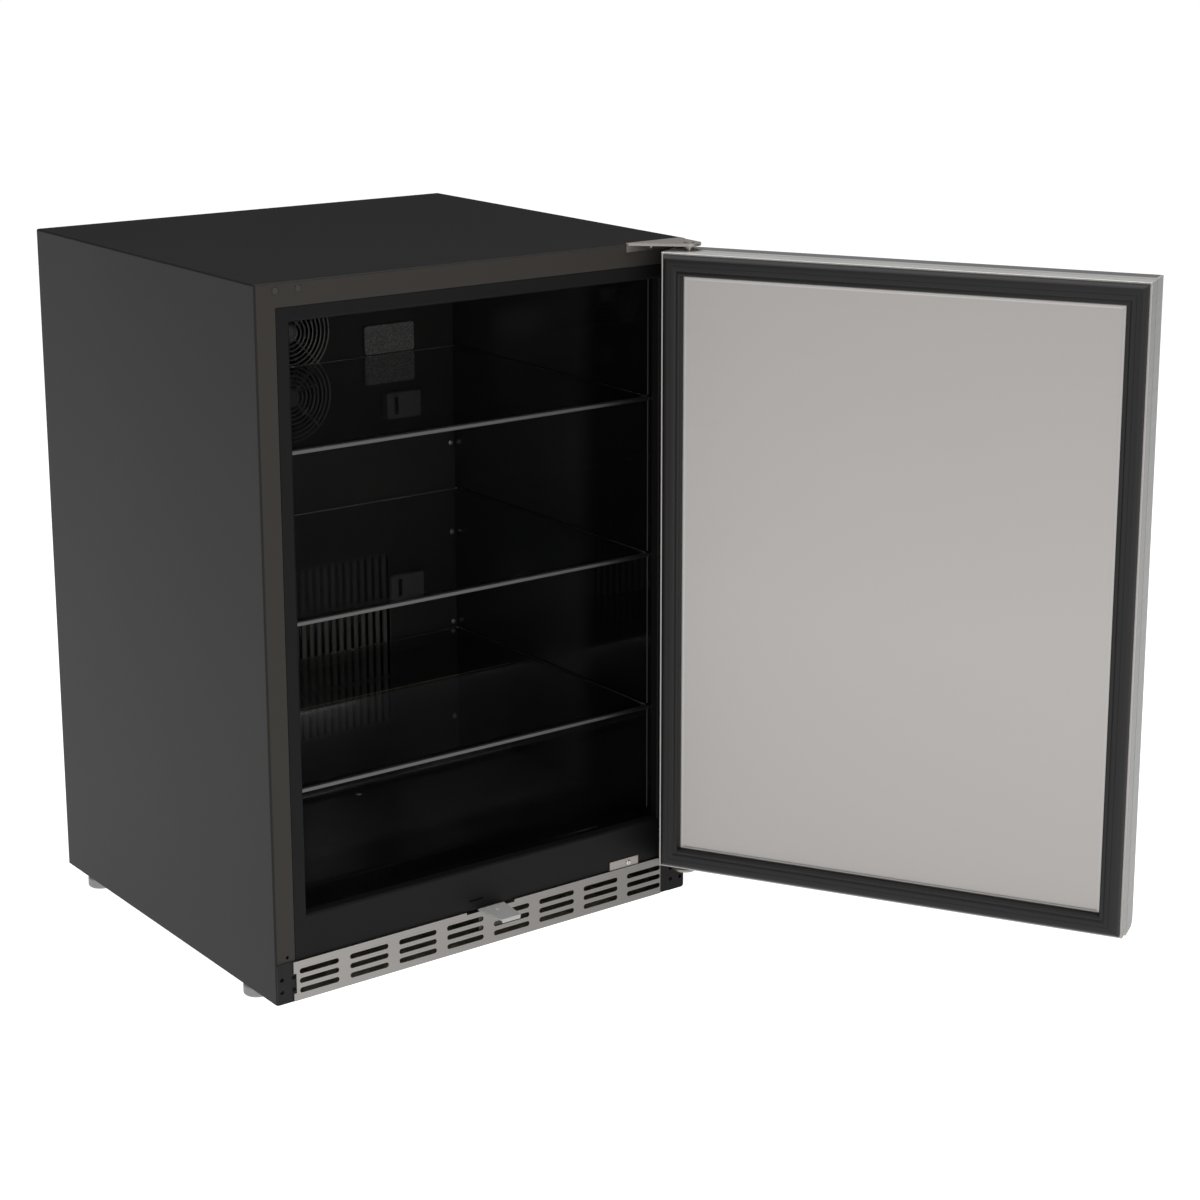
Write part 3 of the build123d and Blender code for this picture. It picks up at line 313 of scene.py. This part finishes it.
def gloss_plastic(name, colour):
    """High-gloss vacuum-drawn sheet, polished near the mouth and a little rubbed further in; its
    colour is painted dark near the mouth as painted shade and paler further in as painted light.
    """
    finish = Finish(name, IOR=1.95)
    wave = finish.noise(7.0, 1.0)
    smudge = finish.ramp(finish.noise(3.5, 4.0), 0.45, 0.75)
    deep = finish.ramp(finish.axis("Y"), *POLISH_AND_LIGHT_ENDS)
    # Painted shade and light: half the colour near the mouth, over four times it deeper in.
    finish.set({"Base Color": finish.mix(deep, scaled(colour, 0.5), scaled(colour, 4.2))})
    finish.set({"Roughness": smudge * 0.07 + deep * 0.16 + 0.04})
    finish.bump(wave, 0.05, 0.002)
    return finish.material


def louvred_cover(name, colour, slat_highlight_colour):
    """Satin moulded cover whose louvre slats carry a painted highlight, brightest on their rounded
    crowns.
    """
    finish = Finish(name, Specular_IOR_Level=0.2)
    grain = finish.noise(900.0, 2.0)
    cloud = finish.noise(4.0, 2.0)
    x = finish.axis("X")
    z = finish.axis("Z")
    across = finish.band(x, -LOUVRE_HALF_WIDTH, LOUVRE_HALF_WIDTH, 0.002)
    rows = [finish.band(z, low, high, 0.006) for low, high in LOUVRE_ROWS]
    angle = x * (math.tau / LOUVRE_PITCH)
    # Painted highlight: a paler band across each slat, brightest on its crown.
    crown_highlight = finish.node("ShaderNodeMath", {"operation": "COSINE"}, {0: angle})
    slat_highlight = (rows[0] + rows[1]) * across * (0.62 + 0.38 * crown_highlight)
    mottled = finish.mix(cloud, scaled(colour, 0.86), opaque(colour))
    finish.set({"Base Color": finish.mix(slat_highlight, mottled, opaque(slat_highlight_colour))})
    finish.set({"Roughness": grain * 0.12 + 0.30})
    finish.bump(grain, 0.06, 0.0002)
    return finish.material


def brushed(name, colour, pitch, rough=0.34, lit_top=None, edge=None, right_shade=0):
    """Stainless steel with level brush lines, painted a little darker low down as painted shade.

    Its folded top may get a colour of its own and less metalness as painted light, the door's free
    edge a darker colour as painted shade, and it may be painted darker towards the right by a share
    as painted shade.
    """
    finish = Finish(name)
    lines = finish.noise(1.0, 4.0, finish.stretched(7.0, 7.0, 1.0 / pitch))
    cloud = finish.noise(2.2, 3.0)
    shade = finish.tones(lines * 0.7 + cloud * 0.3, colour, 0.05)
    # Painted shade: up to 12 % darker towards the bottom.
    shade_low_down = finish.ramp(finish.axis("Z"), 0.42, 0.06) * 0.12
    shade = finish.mix(shade_low_down, shade, BLACK)
    metal = 1.0
    # Painted shade: darker towards the right.
    if right_shade:
        right = finish.ramp(finish.axis("X"), -0.25, 0.30) * right_shade
        shade = finish.mix(right, shade, BLACK)
    # Painted shade: the door's free edge takes a darker colour.
    if edge:
        side = finish.facing(tuple(TO_OPEN.to_3x3() @ Vector((-1, 0, 0))))
        shade = finish.mix(side, shade, opaque(edge))
    # Painted light: top faces take their own colour and lose most of their metalness.
    if lit_top:
        upper = finish.facing((0, 0, 1))
        shade = finish.mix(upper, shade, opaque(lit_top))
        metal = 1 - upper * 0.7
    finish.set({"Base Color": shade, "Metallic": metal})
    finish.set({"Roughness": lines * 0.16 + cloud * 0.06 + (rough - 0.11)})
    finish.bump(lines, 0.14, 0.0001)
    return finish.material


def satin_metal(name, colour, rough=0.38, speck_scale=420.0):
    """Bead-blasted or rolled metal with faint mottling."""
    finish = Finish(name, Metallic=1.0)
    speck = finish.noise(speck_scale, 3.0)
    cloud = finish.noise(14.0, 2.0)
    finish.shade(speck * 0.5 + cloud * 0.5, colour, 0.09)
    finish.set({"Roughness": speck * 0.14 + (rough - 0.07)})
    finish.bump(speck, 0.10, 0.0002)
    return finish.material


def zinc_sheet(name):
    """Galvanised sheet with its crystal spangle."""
    finish = Finish(name, Metallic=1.0)
    spangle = finish.cells(70.0, "Color")
    grey = finish.node("ShaderNodeRGBToBW", {}, {"Color": spangle})
    finish.shade(grey, (0.46, 0.47, 0.48), 0.16)
    finish.set({"Roughness": grey * 0.16 + 0.34})
    finish.bump(finish.noise(300.0, 2.0), 0.06, 0.0003)
    return finish.material


def clear_glass(name, tint):
    """Toughened glass with a trace of smearing and dark ground edges."""
    finish = Finish(name, IOR=1.5, Transmission_Weight=1.0)
    smear = finish.ramp(finish.noise(6.0, 4.0), 0.5, 0.8)
    along = finish.facing((0, 1, 0)) + finish.facing((0, -1, 0))
    across = finish.facing((1, 0, 0)) + finish.facing((-1, 0, 0))
    edge = along + across
    clear = finish.mix(finish.noise(2.0, 1.0), scaled(tint, 0.97), opaque(tint))
    finish.set({"Base Color": finish.mix(edge, clear, (0.030, 0.036, 0.034, 1))})
    finish.set({"Roughness": smear * 0.02 + edge * 0.45 + 0.004})
    return finish.material


def pebbled_lens(name):
    """Translucent lens moulded with small pebbles, unlit."""
    finish = Finish(name, Specular_IOR_Level=0.5)
    pebble = finish.cells(430.0)
    finish.shade(pebble, (0.124, 0.124, 0.126), 0.75)
    finish.set({"Roughness": finish.noise(90.0, 2.0) * 0.2 + 0.28})
    finish.bump(pebble, 0.5, 0.0006)
    return finish.material


def cut_foam(name):
    """Closed-cell insulation."""
    finish = Finish(name, Specular_IOR_Level=0.2, Roughness=0.9)
    cell = finish.cells(900.0)
    finish.shade(cell, (0.72, 0.62, 0.40), 0.18)
    finish.bump(cell, 0.4, 0.0006)
    return finish.material


# ---- mesh building ----

def finished_piece(name, mesh, body, material, smooth=False):
    """Turns a mesh in the fridge's own coordinates into a piece that rides on a body."""
    bm = bmesh.new()
    bm.from_mesh(mesh)
    bmesh.ops.recalc_face_normals(bm, faces=bm.faces)
    for face in bm.faces:
        face.smooth = smooth
    bm.to_mesh(mesh)
    bm.free()
    piece = bpy.data.objects.new(name, mesh)
    bpy.context.scene.collection.objects.link(piece)
    mesh.materials.append(material)
    if smooth:
        mesh.set_sharp_from_angle(angle=SHARP_ANGLE)
    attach(piece, body)
    return piece


def mesh_from(bm, name):
    """Closes a bmesh into a new mesh."""
    mesh = bpy.data.meshes.new(name)
    bm.to_mesh(mesh)
    bm.free()
    return mesh


def add_tube(bm, path, radius, closed=False, sides=10):
    """A round wire along a path of points, closed into a ring or capped at both ends."""
    rings = []
    count = len(path)
    for index, point in enumerate(path):
        before = path[index - 1] if closed or index else point
        after = path[(index + 1) % count] if closed or index < count - 1 else point
        turn = (after - before).to_track_quat("Z", "Y")
        ring = []
        for side in range(sides):
            angle = 2 * math.pi * side / sides
            spoke = turn @ Vector((math.cos(angle) * radius, math.sin(angle) * radius, 0))
            ring.append(bm.verts.new(point + spoke))
        rings.append(ring)
    spans = count if closed else count - 1
    for index in range(spans):
        here, there = rings[index], rings[(index + 1) % count]
        shift = 0
        if closed and index == count - 1:
            gaps = [(here[0].co - there[k].co).length for k in range(sides)]
            shift = gaps.index(min(gaps))
        for side in range(sides):
            following = (side + 1) % sides
            corners = (
                here[side], here[following],
                there[(following + shift) % sides], there[(side + shift) % sides])
            bm.faces.new(corners)
    if not closed:
        bm.faces.new(rings[0])
        bm.faces.new(list(reversed(rings[-1])))


def add_lathe(bm, centre, axis, profile, steps=32):
    """A turned form: profile is (radius, height along the axis) from one pole to the other."""
    turn = Vector(axis).to_track_quat("Z", "Y")
    rows = []
    for radius, height in profile:
        if radius == 0:
            rows.append([bm.verts.new(centre + turn @ Vector((0, 0, height)))])
            continue
        row = []
        for step in range(steps):
            angle = 2 * math.pi * step / steps
            spoke = Vector((radius * math.cos(angle), radius * math.sin(angle), height))
            row.append(bm.verts.new(centre + turn @ spoke))
        rows.append(row)
    for low, high in zip(rows, rows[1:]):
        for step in range(steps):
            following = (step + 1) % steps
            if len(low) == 1:
                bm.faces.new((low[0], high[step], high[following]))
            elif len(high) == 1:
                bm.faces.new((low[step], low[following], high[0]))
            else:
                bm.faces.new((low[step], low[following], high[following], high[step]))


def add_frame_loop(bm, low, high, profile):
    """A mitred rectangular loop in an XZ plane. Profile points are (inward, forward to +Y)."""
    corners = ((low.x, low.z, 1, 1), (high.x, low.z, -1, 1),
               (high.x, high.z, -1, -1), (low.x, high.z, 1, -1))
    rings = []
    for x, z, step_x, step_z in corners:
        ring = []
        for inward, forward in profile:
            place = Vector((x + step_x * inward, low.y + forward, z + step_z * inward))
            ring.append(bm.verts.new(TO_OPEN @ place))
        rings.append(ring)
    count = len(profile)
    for index in range(4):
        here, there = rings[index], rings[(index + 1) % 4]
        for point in range(count):
            following = (point + 1) % count
            bm.faces.new((here[point], here[following], there[following], there[point]))


def carve(mesh, cutter):
    """Cuts one mesh out of another and returns the result."""
    block = bpy.data.objects.new("block", mesh)
    tool = bpy.data.objects.new("tool", cutter)
    for thing in (block, tool):
        bpy.context.scene.collection.objects.link(thing)
    cut = block.modifiers.new("cut", "BOOLEAN")
    cut.operation = "DIFFERENCE"
    cut.object = tool
    bpy.context.view_layer.update()
    seen = block.evaluated_get(bpy.context.evaluated_depsgraph_get())
    result = bpy.data.meshes.new_from_object(seen)
    for thing in (block, tool):
        bpy.data.objects.remove(thing)
    return result


def cross_head_mesh(name, places, axis, radius, height):
    """Pan-head screws with a cross recess, all facing along one axis."""
    heads = bmesh.new()
    tools = bmesh.new()
    turn = Vector(axis).to_track_quat("Z", "Y").to_matrix().to_4x4()
    for place in places:
        profile = [(0, 0.0), (radius, 0.0), (radius, height * 0.35)]
        for step in range(1, 6):
            angle = math.pi / 2 * step / 6
            wide = radius * (0.35 + 0.65 * math.cos(angle))
            profile.append((wide, height * (0.35 + 0.65 * math.sin(angle))))
        profile.append((0, height))
        add_lathe(heads, place, axis, profile)
        for quarter in (0, 1):
            spot = Matrix.Translation(place) @ turn @ Matrix.Rotation(math.pi / 2 * quarter, 4, "Z")
            size = Matrix.Diagonal((radius * 1.15, radius * 0.24, height * 1.2, 1))
            lift = Matrix.Translation((0, 0, height * 1.0))
            bmesh.ops.create_cube(tools, size=1.0, matrix=spot @ lift @ size)
    return carve(mesh_from(heads, name), mesh_from(tools, name + "_recess"))


def dress(node, material):
    """Gives a carried-over part its finish."""
    mesh = frame["nodes"][node].data
    mesh.materials.clear()
    mesh.materials.append(material)


def sizes():
    """The scene's trim sizes."""
    return bpy.context.scene.fridge_sizes


def colours():
    """The scene's base colours."""
    return bpy.context.scene.fridge_colours


# ---- operators ----

class FRIDGE_OT_stage(bpy.types.Operator):
    """Floor, studio light and camera"""

    bl_idname = "fridge.stage"
    bl_label = "Stage"

    CAMERA_PLACE = (-1.6424, -2.7094, 1.3069)
    CAMERA_YAW = math.radians(37.03)
    CAMERA_PITCH = math.radians(13.16)
    LENS = 77.3
    SHIFT = (-0.0152, -0.1123)
    FLOOR_HALF = 40.0
    FLOOR_GLOW = 0.98
    MIRRORED_WORLD = 0.05
    LIT_POINT = (0.1, -0.2, 0.45)
    # name, place, width and height, watts, colour
    SOFT_BOXES = (
        ("soft_left", (-3.6, -1.4, 1.7), (3.0, 2.6), 12, (1.0, 0.985, 0.96)),
        ("soft_front", (-0.6, -4.2, 2.0), (3.0, 2.2), 56, (1.0, 0.97, 0.93)),
        ("overhead", (0.2, -0.3, 4.6), (5.0, 5.0), 225, (1, 1, 1)),
    )

    def execute(self, context):
        self.floor(context)
        self.world(context)
        self.lamps(context)
        self.camera(context)
        return {"FINISHED"}

    def floor(self, context):
        """One wide pale sheet."""
        finish = Finish("studio_floor", Specular_IOR_Level=0.1, Roughness=0.9)
        finish.shade(finish.noise(0.8, 2.0), colours().floor, 0.004)
        finish.set({"Emission Color": (1, 1, 1, 1), "Emission Strength": self.FLOOR_GLOW})
        sheet = bmesh.new()
        bmesh.ops.create_grid(sheet, x_segments=4, y_segments=4, size=self.FLOOR_HALF)
        mesh = mesh_from(sheet, "studio_floor")
        mesh.materials.append(finish.material)
        floor = bpy.data.objects.new("studio_floor", mesh)
        context.scene.collection.objects.link(floor)

    def world(self, context):
        """White where it is seen, dimmer in what the gloss surfaces mirror."""
        world = bpy.data.worlds.new("studio")
        world.use_nodes = True
        nodes = Nodes(world.node_tree)
        seen = nodes.node("ShaderNodeLightPath", {}, {}, "Is Camera Ray")
        dim_sockets = {"Color": (0.96, 0.98, 1.0, 1), "Strength": self.MIRRORED_WORLD}
        dim = nodes.node("ShaderNodeBackground", {}, dim_sockets)
        white_sockets = {"Color": (1, 1, 1, 1), "Strength": 1.0}
        white = nodes.node("ShaderNodeBackground", {}, white_sockets)
        either = nodes.node("ShaderNodeMixShader", {}, {0: seen, 1: dim, 2: white})
        nodes.node("ShaderNodeOutputWorld", {}, {"Surface": either})
        context.scene.world = world

    def lamps(self, context):
        """A soft box to the left, one in front and a broad one overhead."""
        for name, place, size, power, colour in self.SOFT_BOXES:
            lamp = bpy.data.lights.new(name, "AREA")
            lamp.shape = "RECTANGLE"
            lamp.size, lamp.size_y = size
            lamp.energy = power
            lamp.color = colour
            holder = bpy.data.objects.new(name, lamp)
            holder.location = place
            aim = Vector(self.LIT_POINT) - Vector(place)
            holder.rotation_euler = aim.to_track_quat("-Z", "Y").to_euler()
            context.scene.collection.objects.link(holder)

    def camera(self, context):
        """The viewing angle: from the left, a little above, door to the right."""
        data = bpy.data.cameras.new("view")
        data.lens = self.LENS
        data.sensor_width = 36.0
        data.shift_x, data.shift_y = self.SHIFT
        data.clip_end = 200.0
        camera = bpy.data.objects.new("view", data)
        camera.location = self.CAMERA_PLACE
        camera.rotation_euler = (math.pi / 2 - self.CAMERA_PITCH, 0, -self.CAMERA_YAW)
        context.scene.collection.objects.link(camera)
        context.scene.camera = camera
        context.scene.view_settings.view_transform = "Standard"


class FRIDGE_OT_cabinet(bpy.types.Operator):
    """Painted case, front frame, base and back"""

    bl_idname = "fridge.cabinet"
    bl_label = "Cabinet"

    def execute(self, context):
        # The case's front faces are painted paler than its sides: painted light.
        paint = painted("case_paint", colours().case, front=(0.0345, 0.0313, 0.0280))
        dress("outer_case", paint)
        dress("corner_plate_left", painted("corner_paint", (0.0150, 0.0150, 0.0152)))
        dress("corner_plate_right", painted("corner_black", (0.0065, 0.0065, 0.0066)))
        dress("front_frame", moulded("breaker_frame", colours().breaker, 0.44, 1500.0, 0.08, 0.09))
        sheet = zinc_sheet("zinc_sheet")
        for node in ("rear_panel", "rear_cover", "base_pan"):
            dress(node, sheet)
        dress("rear_screws", satin_metal("zinc_screw", (0.62, 0.62, 0.60), 0.34))
        dress("foam_insulation", cut_foam("cabinet_foam"))
        dress("hinge_plugs", moulded("plug_nylon", (0.02, 0.02, 0.021), 0.30, 800.0))
        return {"FINISHED"}


class FRIDGE_OT_interior(bpy.types.Operator):
    """Gloss liner, back cover, lamp and thermostat"""

    bl_idname = "fridge.interior"
    bl_label = "Interior"

    SCREW_RADIUS = 0.0032
    SCREW_HEAD = 0.0014
    SCREW_STEP = 0.125

    def execute(self, context):
        gloss = gloss_plastic("gloss_liner", colours().gloss)
        dress("inner_liner", gloss)
        # The second colour is the painted highlight on the louvre slats.
        cover = louvred_cover("duct_cover_satin", (0.0235, 0.0235, 0.024), (0.092, 0.092, 0.092))
        dress("duct_cover", cover)
        dress("lamp_lens", pebbled_lens("lamp_lens_pebbled"))
        dress("lamp_housing", moulded("lamp_tray", (0.08, 0.08, 0.082), 0.5, 900.0))
        dress("lamp_board", painted("lamp_board_lacquer", (0.72, 0.73, 0.68), 0.3))
        dress("thermostat_housing", moulded("dial_case", (0.150, 0.150, 0.151), 0.34, 1300.0))
        dress("thermostat_wheel", moulded("dial_wheel", (0.004, 0.004, 0.004), 0.5, 1300.0))
        self.cover_screws()
        return {"FINISHED"}

    def cover_screws(self):
        """Cross-head screws over the plain ones."""
        low, high = (Vector(corner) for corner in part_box("cover_screws"))
        radius = self.SCREW_RADIUS
        face = low.y + self.SCREW_HEAD
        lowest = low.z + radius
        heights = (lowest, lowest + self.SCREW_STEP, high.z - radius)
        columns = (low.x + radius, high.x - radius)
        places = [Vector((x, face, z)) for x in columns for z in heights]
        mesh = cross_head_mesh(
            "cover_screw_heads", places, (0, -1, 0), radius, self.SCREW_HEAD)
        steel = satin_metal("bright_screw", (0.34, 0.34, 0.335), 0.40)
        piece = finished_piece("cover_screw_heads", mesh, "cabinet", steel)
        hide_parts("cover_screws")


class FRIDGE_OT_fan_guard(bpy.types.Operator):
    """Wire rings and cross struts over the fan mouth"""

    bl_idname = "fridge.fan_guard"
    bl_label = "Fan guard"

    RING_STEPS = 72
    INNER_RING = 0.0115
    STRUT_BEND = 0.002
    HUB_GAP = 0.0002
    # The hub's radii, with their heights as shares of its depth.
    HUB_PROFILE = (
        (0, 0), (0.0102, 0), (0.0105, 0.8), (0.0096, 1), (0.0070, 1), (0.0066, 0.86), (0, 0.86))

    def execute(self, context):
        low, high = (Vector(corner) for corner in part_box("fan_guard"))
        wire = sizes().guard_wire
        middle = (low + high) / 2
        front_y = low.y + wire
        outer = (high.x - low.x) / 2 - wire
        count = sizes().guard_rings
        rings = bmesh.new()
        for index in range(count):
            radius = self.INNER_RING + (outer - self.INNER_RING) * index / (count - 1)
            path = []
            for step in range(self.RING_STEPS):
                angle = 2 * math.pi * step / self.RING_STEPS
                spot = (middle.x + radius * math.cos(angle), front_y,
                        middle.z + radius * math.sin(angle))
                path.append(Vector(spot))
            add_tube(rings, path, wire, closed=True, sides=8)
        hub = Vector((middle.x, front_y + wire * 1.5, middle.z))
        for quarter in range(4):
            angle = math.radians(45 + 90 * quarter)
            way = Vector((math.cos(angle), 0, math.sin(angle)))
            tip = hub + way * outer
            foot = Vector((tip.x, high.y - wire * 0.5, tip.z))
            add_tube(rings, [hub, tip - way * self.STRUT_BEND, foot], wire * 1.05)
        hub_foot = Vector((middle.x, high.y - self.HUB_GAP, middle.z))
        deep = high.y - low.y - 2 * self.HUB_GAP
        hub_profile = [(radius, deep * share) for radius, share in self.HUB_PROFILE]
        add_lathe(rings, hub_foot, (0, -1, 0), hub_profile)
        black = moulded("guard_plastic", (0.085, 0.085, 0.086), 0.36, 900.0, level=0.6)
        piece = finished_piece(
            "fan_guard_rings", mesh_from(rings, "fan_guard_rings"), "cabinet", black,
            smooth=True)
        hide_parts("fan_guard")
        return {"FINISHED"}


class FRIDGE_OT_shelves(bpy.types.Operator):
    """Glass shelves with their bright front rails"""

    bl_idname = "fridge.shelves"
    bl_label = "Shelves"

    def execute(self, context):
        glass = clear_glass("shelf_glass", colours().glass)
        rail = satin_metal("shelf_rail_steel", (0.105, 0.105, 0.104), 0.36)
        for number in (1, 2, 3):
            dress(f"shelf_glass_{number}", glass)
            dress(f"shelf_trim_{number}", rail)
        return {"FINISHED"}


class FRIDGE_OT_plinth(bpy.types.Operator):
    """Kick plate, lock tongue and feet"""

    bl_idname = "fridge.plinth"
    bl_label = "Plinth"

    # Below the tongue, its bracket stands behind the kick plate, where it is painted near-black as
    # painted shade.
    TONGUE_UNDERSIDE = 0.0655

    def execute(self, context):
        # The kick plate is painted darker towards its right end as painted shade.
        kick = brushed("kick_steel", (0.325, 0.312, 0.298), sizes().grain_pitch, right_shade=0.40)
        dress("kick_plate", kick)
        zinc = painted(
            "tongue_zinc", (0.407, 0.407, 0.403), 0.45, 0.4, shaded_below=self.TONGUE_UNDERSIDE)
        dress("lock_strike", zinc)
        grey = moulded("foot_plastic", (0.30, 0.30, 0.30), 0.5, 700.0)
        for end in ("front_left", "front_right", "back_left", "back_right"):
            dress("foot_" + end, grey)
        return {"FINISHED"}


class FRIDGE_OT_hinges(bpy.types.Operator):
    """Hinge brackets, pins and their screws"""

    bl_idname = "fridge.hinges"
    bl_label = "Hinges"

    SCREW_HEAD = 0.0014

    def execute(self, context):
        # The hinges' top faces get their own colour and less metalness: painted light.
        satin = brushed(
            "hinge_steel", colours().hinge, 0.0008, 0.42, lit_top=(0.27, 0.25, 0.235))
        for node in ("upper_hinge", "lower_hinge", "upper_hinge_pin", "lower_hinge_pin"):
            dress(node, satin)
        steel = satin_metal("hinge_screw_steel", (0.52, 0.51, 0.49), 0.32)
        for node in ("upper_hinge_screws", "lower_hinge_screw"):
            low, high = (Vector(corner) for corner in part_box(node))
            radius = (high.z - low.z) / 2
            face = low.y + self.SCREW_HEAD
            mid_z = (low.z + high.z) / 2
            spots = sorted({round(low.x + radius, 5), round(high.x - radius, 5)})
            places = [Vector((x, face, mid_z)) for x in spots]
            mesh = cross_head_mesh(
                node + "_heads", places, (0, -1, 0), radius, self.SCREW_HEAD)
            piece = finished_piece(node + "_heads", mesh, "cabinet", steel)
            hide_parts(node)
        return {"FINISHED"}


class FRIDGE_OT_machinery(bpy.types.Operator):
    """Compressor, coils, fans and tray"""

    bl_idname = "fridge.machinery"
    bl_label = "Machinery"

    def execute(self, context):
        fins = satin_metal("fin_aluminium", (0.70, 0.71, 0.72), 0.40, 260.0)
        black = moulded("fan_plastic", (0.025, 0.025, 0.026), 0.45, 900.0)
        dress("evaporator_coil", fins)
        dress("condenser_coil", fins)
        for place in ("evaporator", "condenser"):
            dress(f"{place}_fan_frame", black)
            dress(f"{place}_fan_blades", black)
        dress("compressor", painted("compressor_enamel", (0.018, 0.018, 0.018), 0.25))
        dress("compressor_mounts", moulded("mount_rubber", (0.03, 0.03, 0.03), 0.7, 500.0))
        dress("suction_line", satin_metal("copper_tube", (0.62, 0.32, 0.20), 0.34))
        dress("drain_tray", moulded("tray_plastic", (0.03, 0.03, 0.03), 0.5, 700.0))
        return {"FINISHED"}


class FRIDGE_OT_door(bpy.types.Operator):
    """Door skins, inner panel rim and edge trim"""

    bl_idname = "fridge.door"
    bl_label = "Door"

    # Distance from the gasket's outer edge to the rim's, and how far the rim stands up.
    RIM_INSET = 0.0246
    RIM_RISE = 0.0004

    def execute(self, context):
        pitch = sizes().grain_pitch
        # Skin and pan are copies of one steel, their tops painted light and their free edges
        # painted shade.
        skin = brushed(
            "skin_steel", colours().steel, pitch,
            lit_top=(0.56, 0.56, 0.55), edge=(0.126, 0.123, 0.119))
        dress("door_skin", skin)
        pan = brushed(
            "pan_steel", colours().steel, pitch,
            lit_top=(0.60, 0.60, 0.59), edge=(0.110, 0.107, 0.102))
        dress("door_inner_pan", pan)
        dress("door_seam_strip", moulded("seam_plastic", (0.11, 0.11, 0.105), 0.6, 900.0))
        dress("door_top_cap", painted("cap_grey", (0.15, 0.15, 0.15), 0.5))
        dress("door_foam", cut_foam("door_foam_cells"))
        bush = moulded("bush_nylon", (0.34, 0.34, 0.34), 0.5, 900.0)
        for node in ("door_bush_upper", "door_bush_lower"):
            dress(node, bush)
        self.panel_rim()
        return {"FINISHED"}

    def panel_rim(self):
        """Rolled rim that frames the flat of the inner panel, just inside the gasket."""
        low, high = shut_box("door_gasket")
        inset = self.RIM_INSET
        rise = self.RIM_RISE
        width = sizes().rim_width
        low = Vector((low.x + inset, low.y, low.z + inset))
        high = Vector((high.x - inset, high.y, high.z - inset))
        profile = [(0, 0), (0, rise / 2), (width * 0.3, rise), (width * 0.7, rise), (width, 0)]
        rim = bmesh.new()
        add_frame_loop(rim, low, high, profile)
        # The rim is real raised steel, but its colour is a slightly paler copy of the door steel: a
        # painted highlight.
        steel = brushed("rim_steel", (0.398, 0.382, 0.370), sizes().grain_pitch, 0.32)
        finished_piece(
            "door_panel_rim", mesh_from(rim, "door_panel_rim"), "door", steel)


class FRIDGE_OT_gasket(bpy.types.Operator):
    """Bellows gasket with mitred corners"""

    bl_idname = "fridge.gasket"
    bl_label = "Gasket"

    # The rounded outer shoulder.
    BEND = 0.0090
    BEND_STEPS = 8
    # After the bend: distance inward from the outer edge, and drop below the crown.
    LIP = (
        (0.0118, 0.0), (0.0120, 0.0003), (0.0124, 0.0003), (0.0126, 0.0),
        (0.0160, 0.0), (0.0172, 0.0003), (0.0181, 0.0009), (0.0187, 0.0016),
        (0.0191, 0.0019), (0.0196, 0.0018), (0.0202, 0.0013), (0.0210, 0.0009),
        (0.0219, 0.0008), (0.0228, 0.0011), (0.0235, 0.0019), (0.0240, 0.0032),
        (0.0244, 0.0052), (0.0245, 0.0070))

    def execute(self, context):
        low, high = shut_box("door_gasket")
        crown = high.y - low.y
        profile = [(0.0, 0.0)]
        for step in range(self.BEND_STEPS + 1):
            angle = math.pi / 2 * step / self.BEND_STEPS
            inward = self.BEND * (1 - math.cos(angle))
            profile.append((inward, crown - self.BEND * (1 - math.sin(angle))))
        profile += [(inward, crown - drop) for inward, drop in self.LIP]
        profile.append((self.LIP[-1][0], 0.0))
        seal = bmesh.new()
        add_frame_loop(seal, low, high, profile)
        rubber = moulded("gasket_rubber", colours().gasket, 0.50, 1000.0, 0.12, 0.26)
        piece = finished_piece(
            "door_gasket_seal", mesh_from(seal, "door_gasket_seal"), "door", rubber,
            smooth=True)
        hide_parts("door_gasket")
        return {"FINISHED"}


class FRIDGE_OT_handle(bpy.types.Operator):
    """Pull handle on its two posts"""

    bl_idname = "fridge.handle"
    bl_label = "Handle"

    def execute(self, context):
        steel = brushed("handle_steel", colours().steel, 0.0006, 0.30)
        for node in ("handle_bar", "handle_post_upper", "handle_post_lower"):
            dress(node, steel)
        return {"FINISHED"}


OPERATORS = (
    FRIDGE_OT_stage, FRIDGE_OT_cabinet, FRIDGE_OT_interior, FRIDGE_OT_fan_guard,
    FRIDGE_OT_shelves, FRIDGE_OT_plinth, FRIDGE_OT_hinges, FRIDGE_OT_machinery,
    FRIDGE_OT_door, FRIDGE_OT_gasket, FRIDGE_OT_handle)


class FRIDGE_PT_panel(bpy.types.Panel):
    """Buttons for every group of pieces, with their sizes and colours"""

    bl_idname = "FRIDGE_PT_panel"
    bl_label = "Fridge"
    bl_space_type = "VIEW_3D"
    bl_region_type = "UI"
    bl_category = "Fridge"

    def draw(self, context):
        for operator in OPERATORS:
            self.layout.operator(operator.bl_idname)
        for group in (context.scene.fridge_sizes, context.scene.fridge_colours):
            for name in group.__annotations__:
                self.layout.prop(group, name)


CLASSES = (FridgeSizes, FridgeColours) + OPERATORS + (FRIDGE_PT_panel,)


def register():
    """Adds the classes and the scene's settings."""
    for item in CLASSES:
        bpy.utils.register_class(item)
    bpy.types.Scene.fridge_sizes = PointerProperty(type=FridgeSizes)
    bpy.types.Scene.fridge_colours = PointerProperty(type=FridgeColours)


def unregister():
    """Takes them away again."""
    del bpy.types.Scene.fridge_colours
    del bpy.types.Scene.fridge_sizes
    for item in reversed(CLASSES):
        bpy.utils.unregister_class(item)


def main():
    """Makes every piece in order."""
    register()
    for operator in OPERATORS:
        group, action = operator.bl_idname.split(".")
        getattr(getattr(bpy.ops, group), action)()


if __name__ == "__main__":
    main()
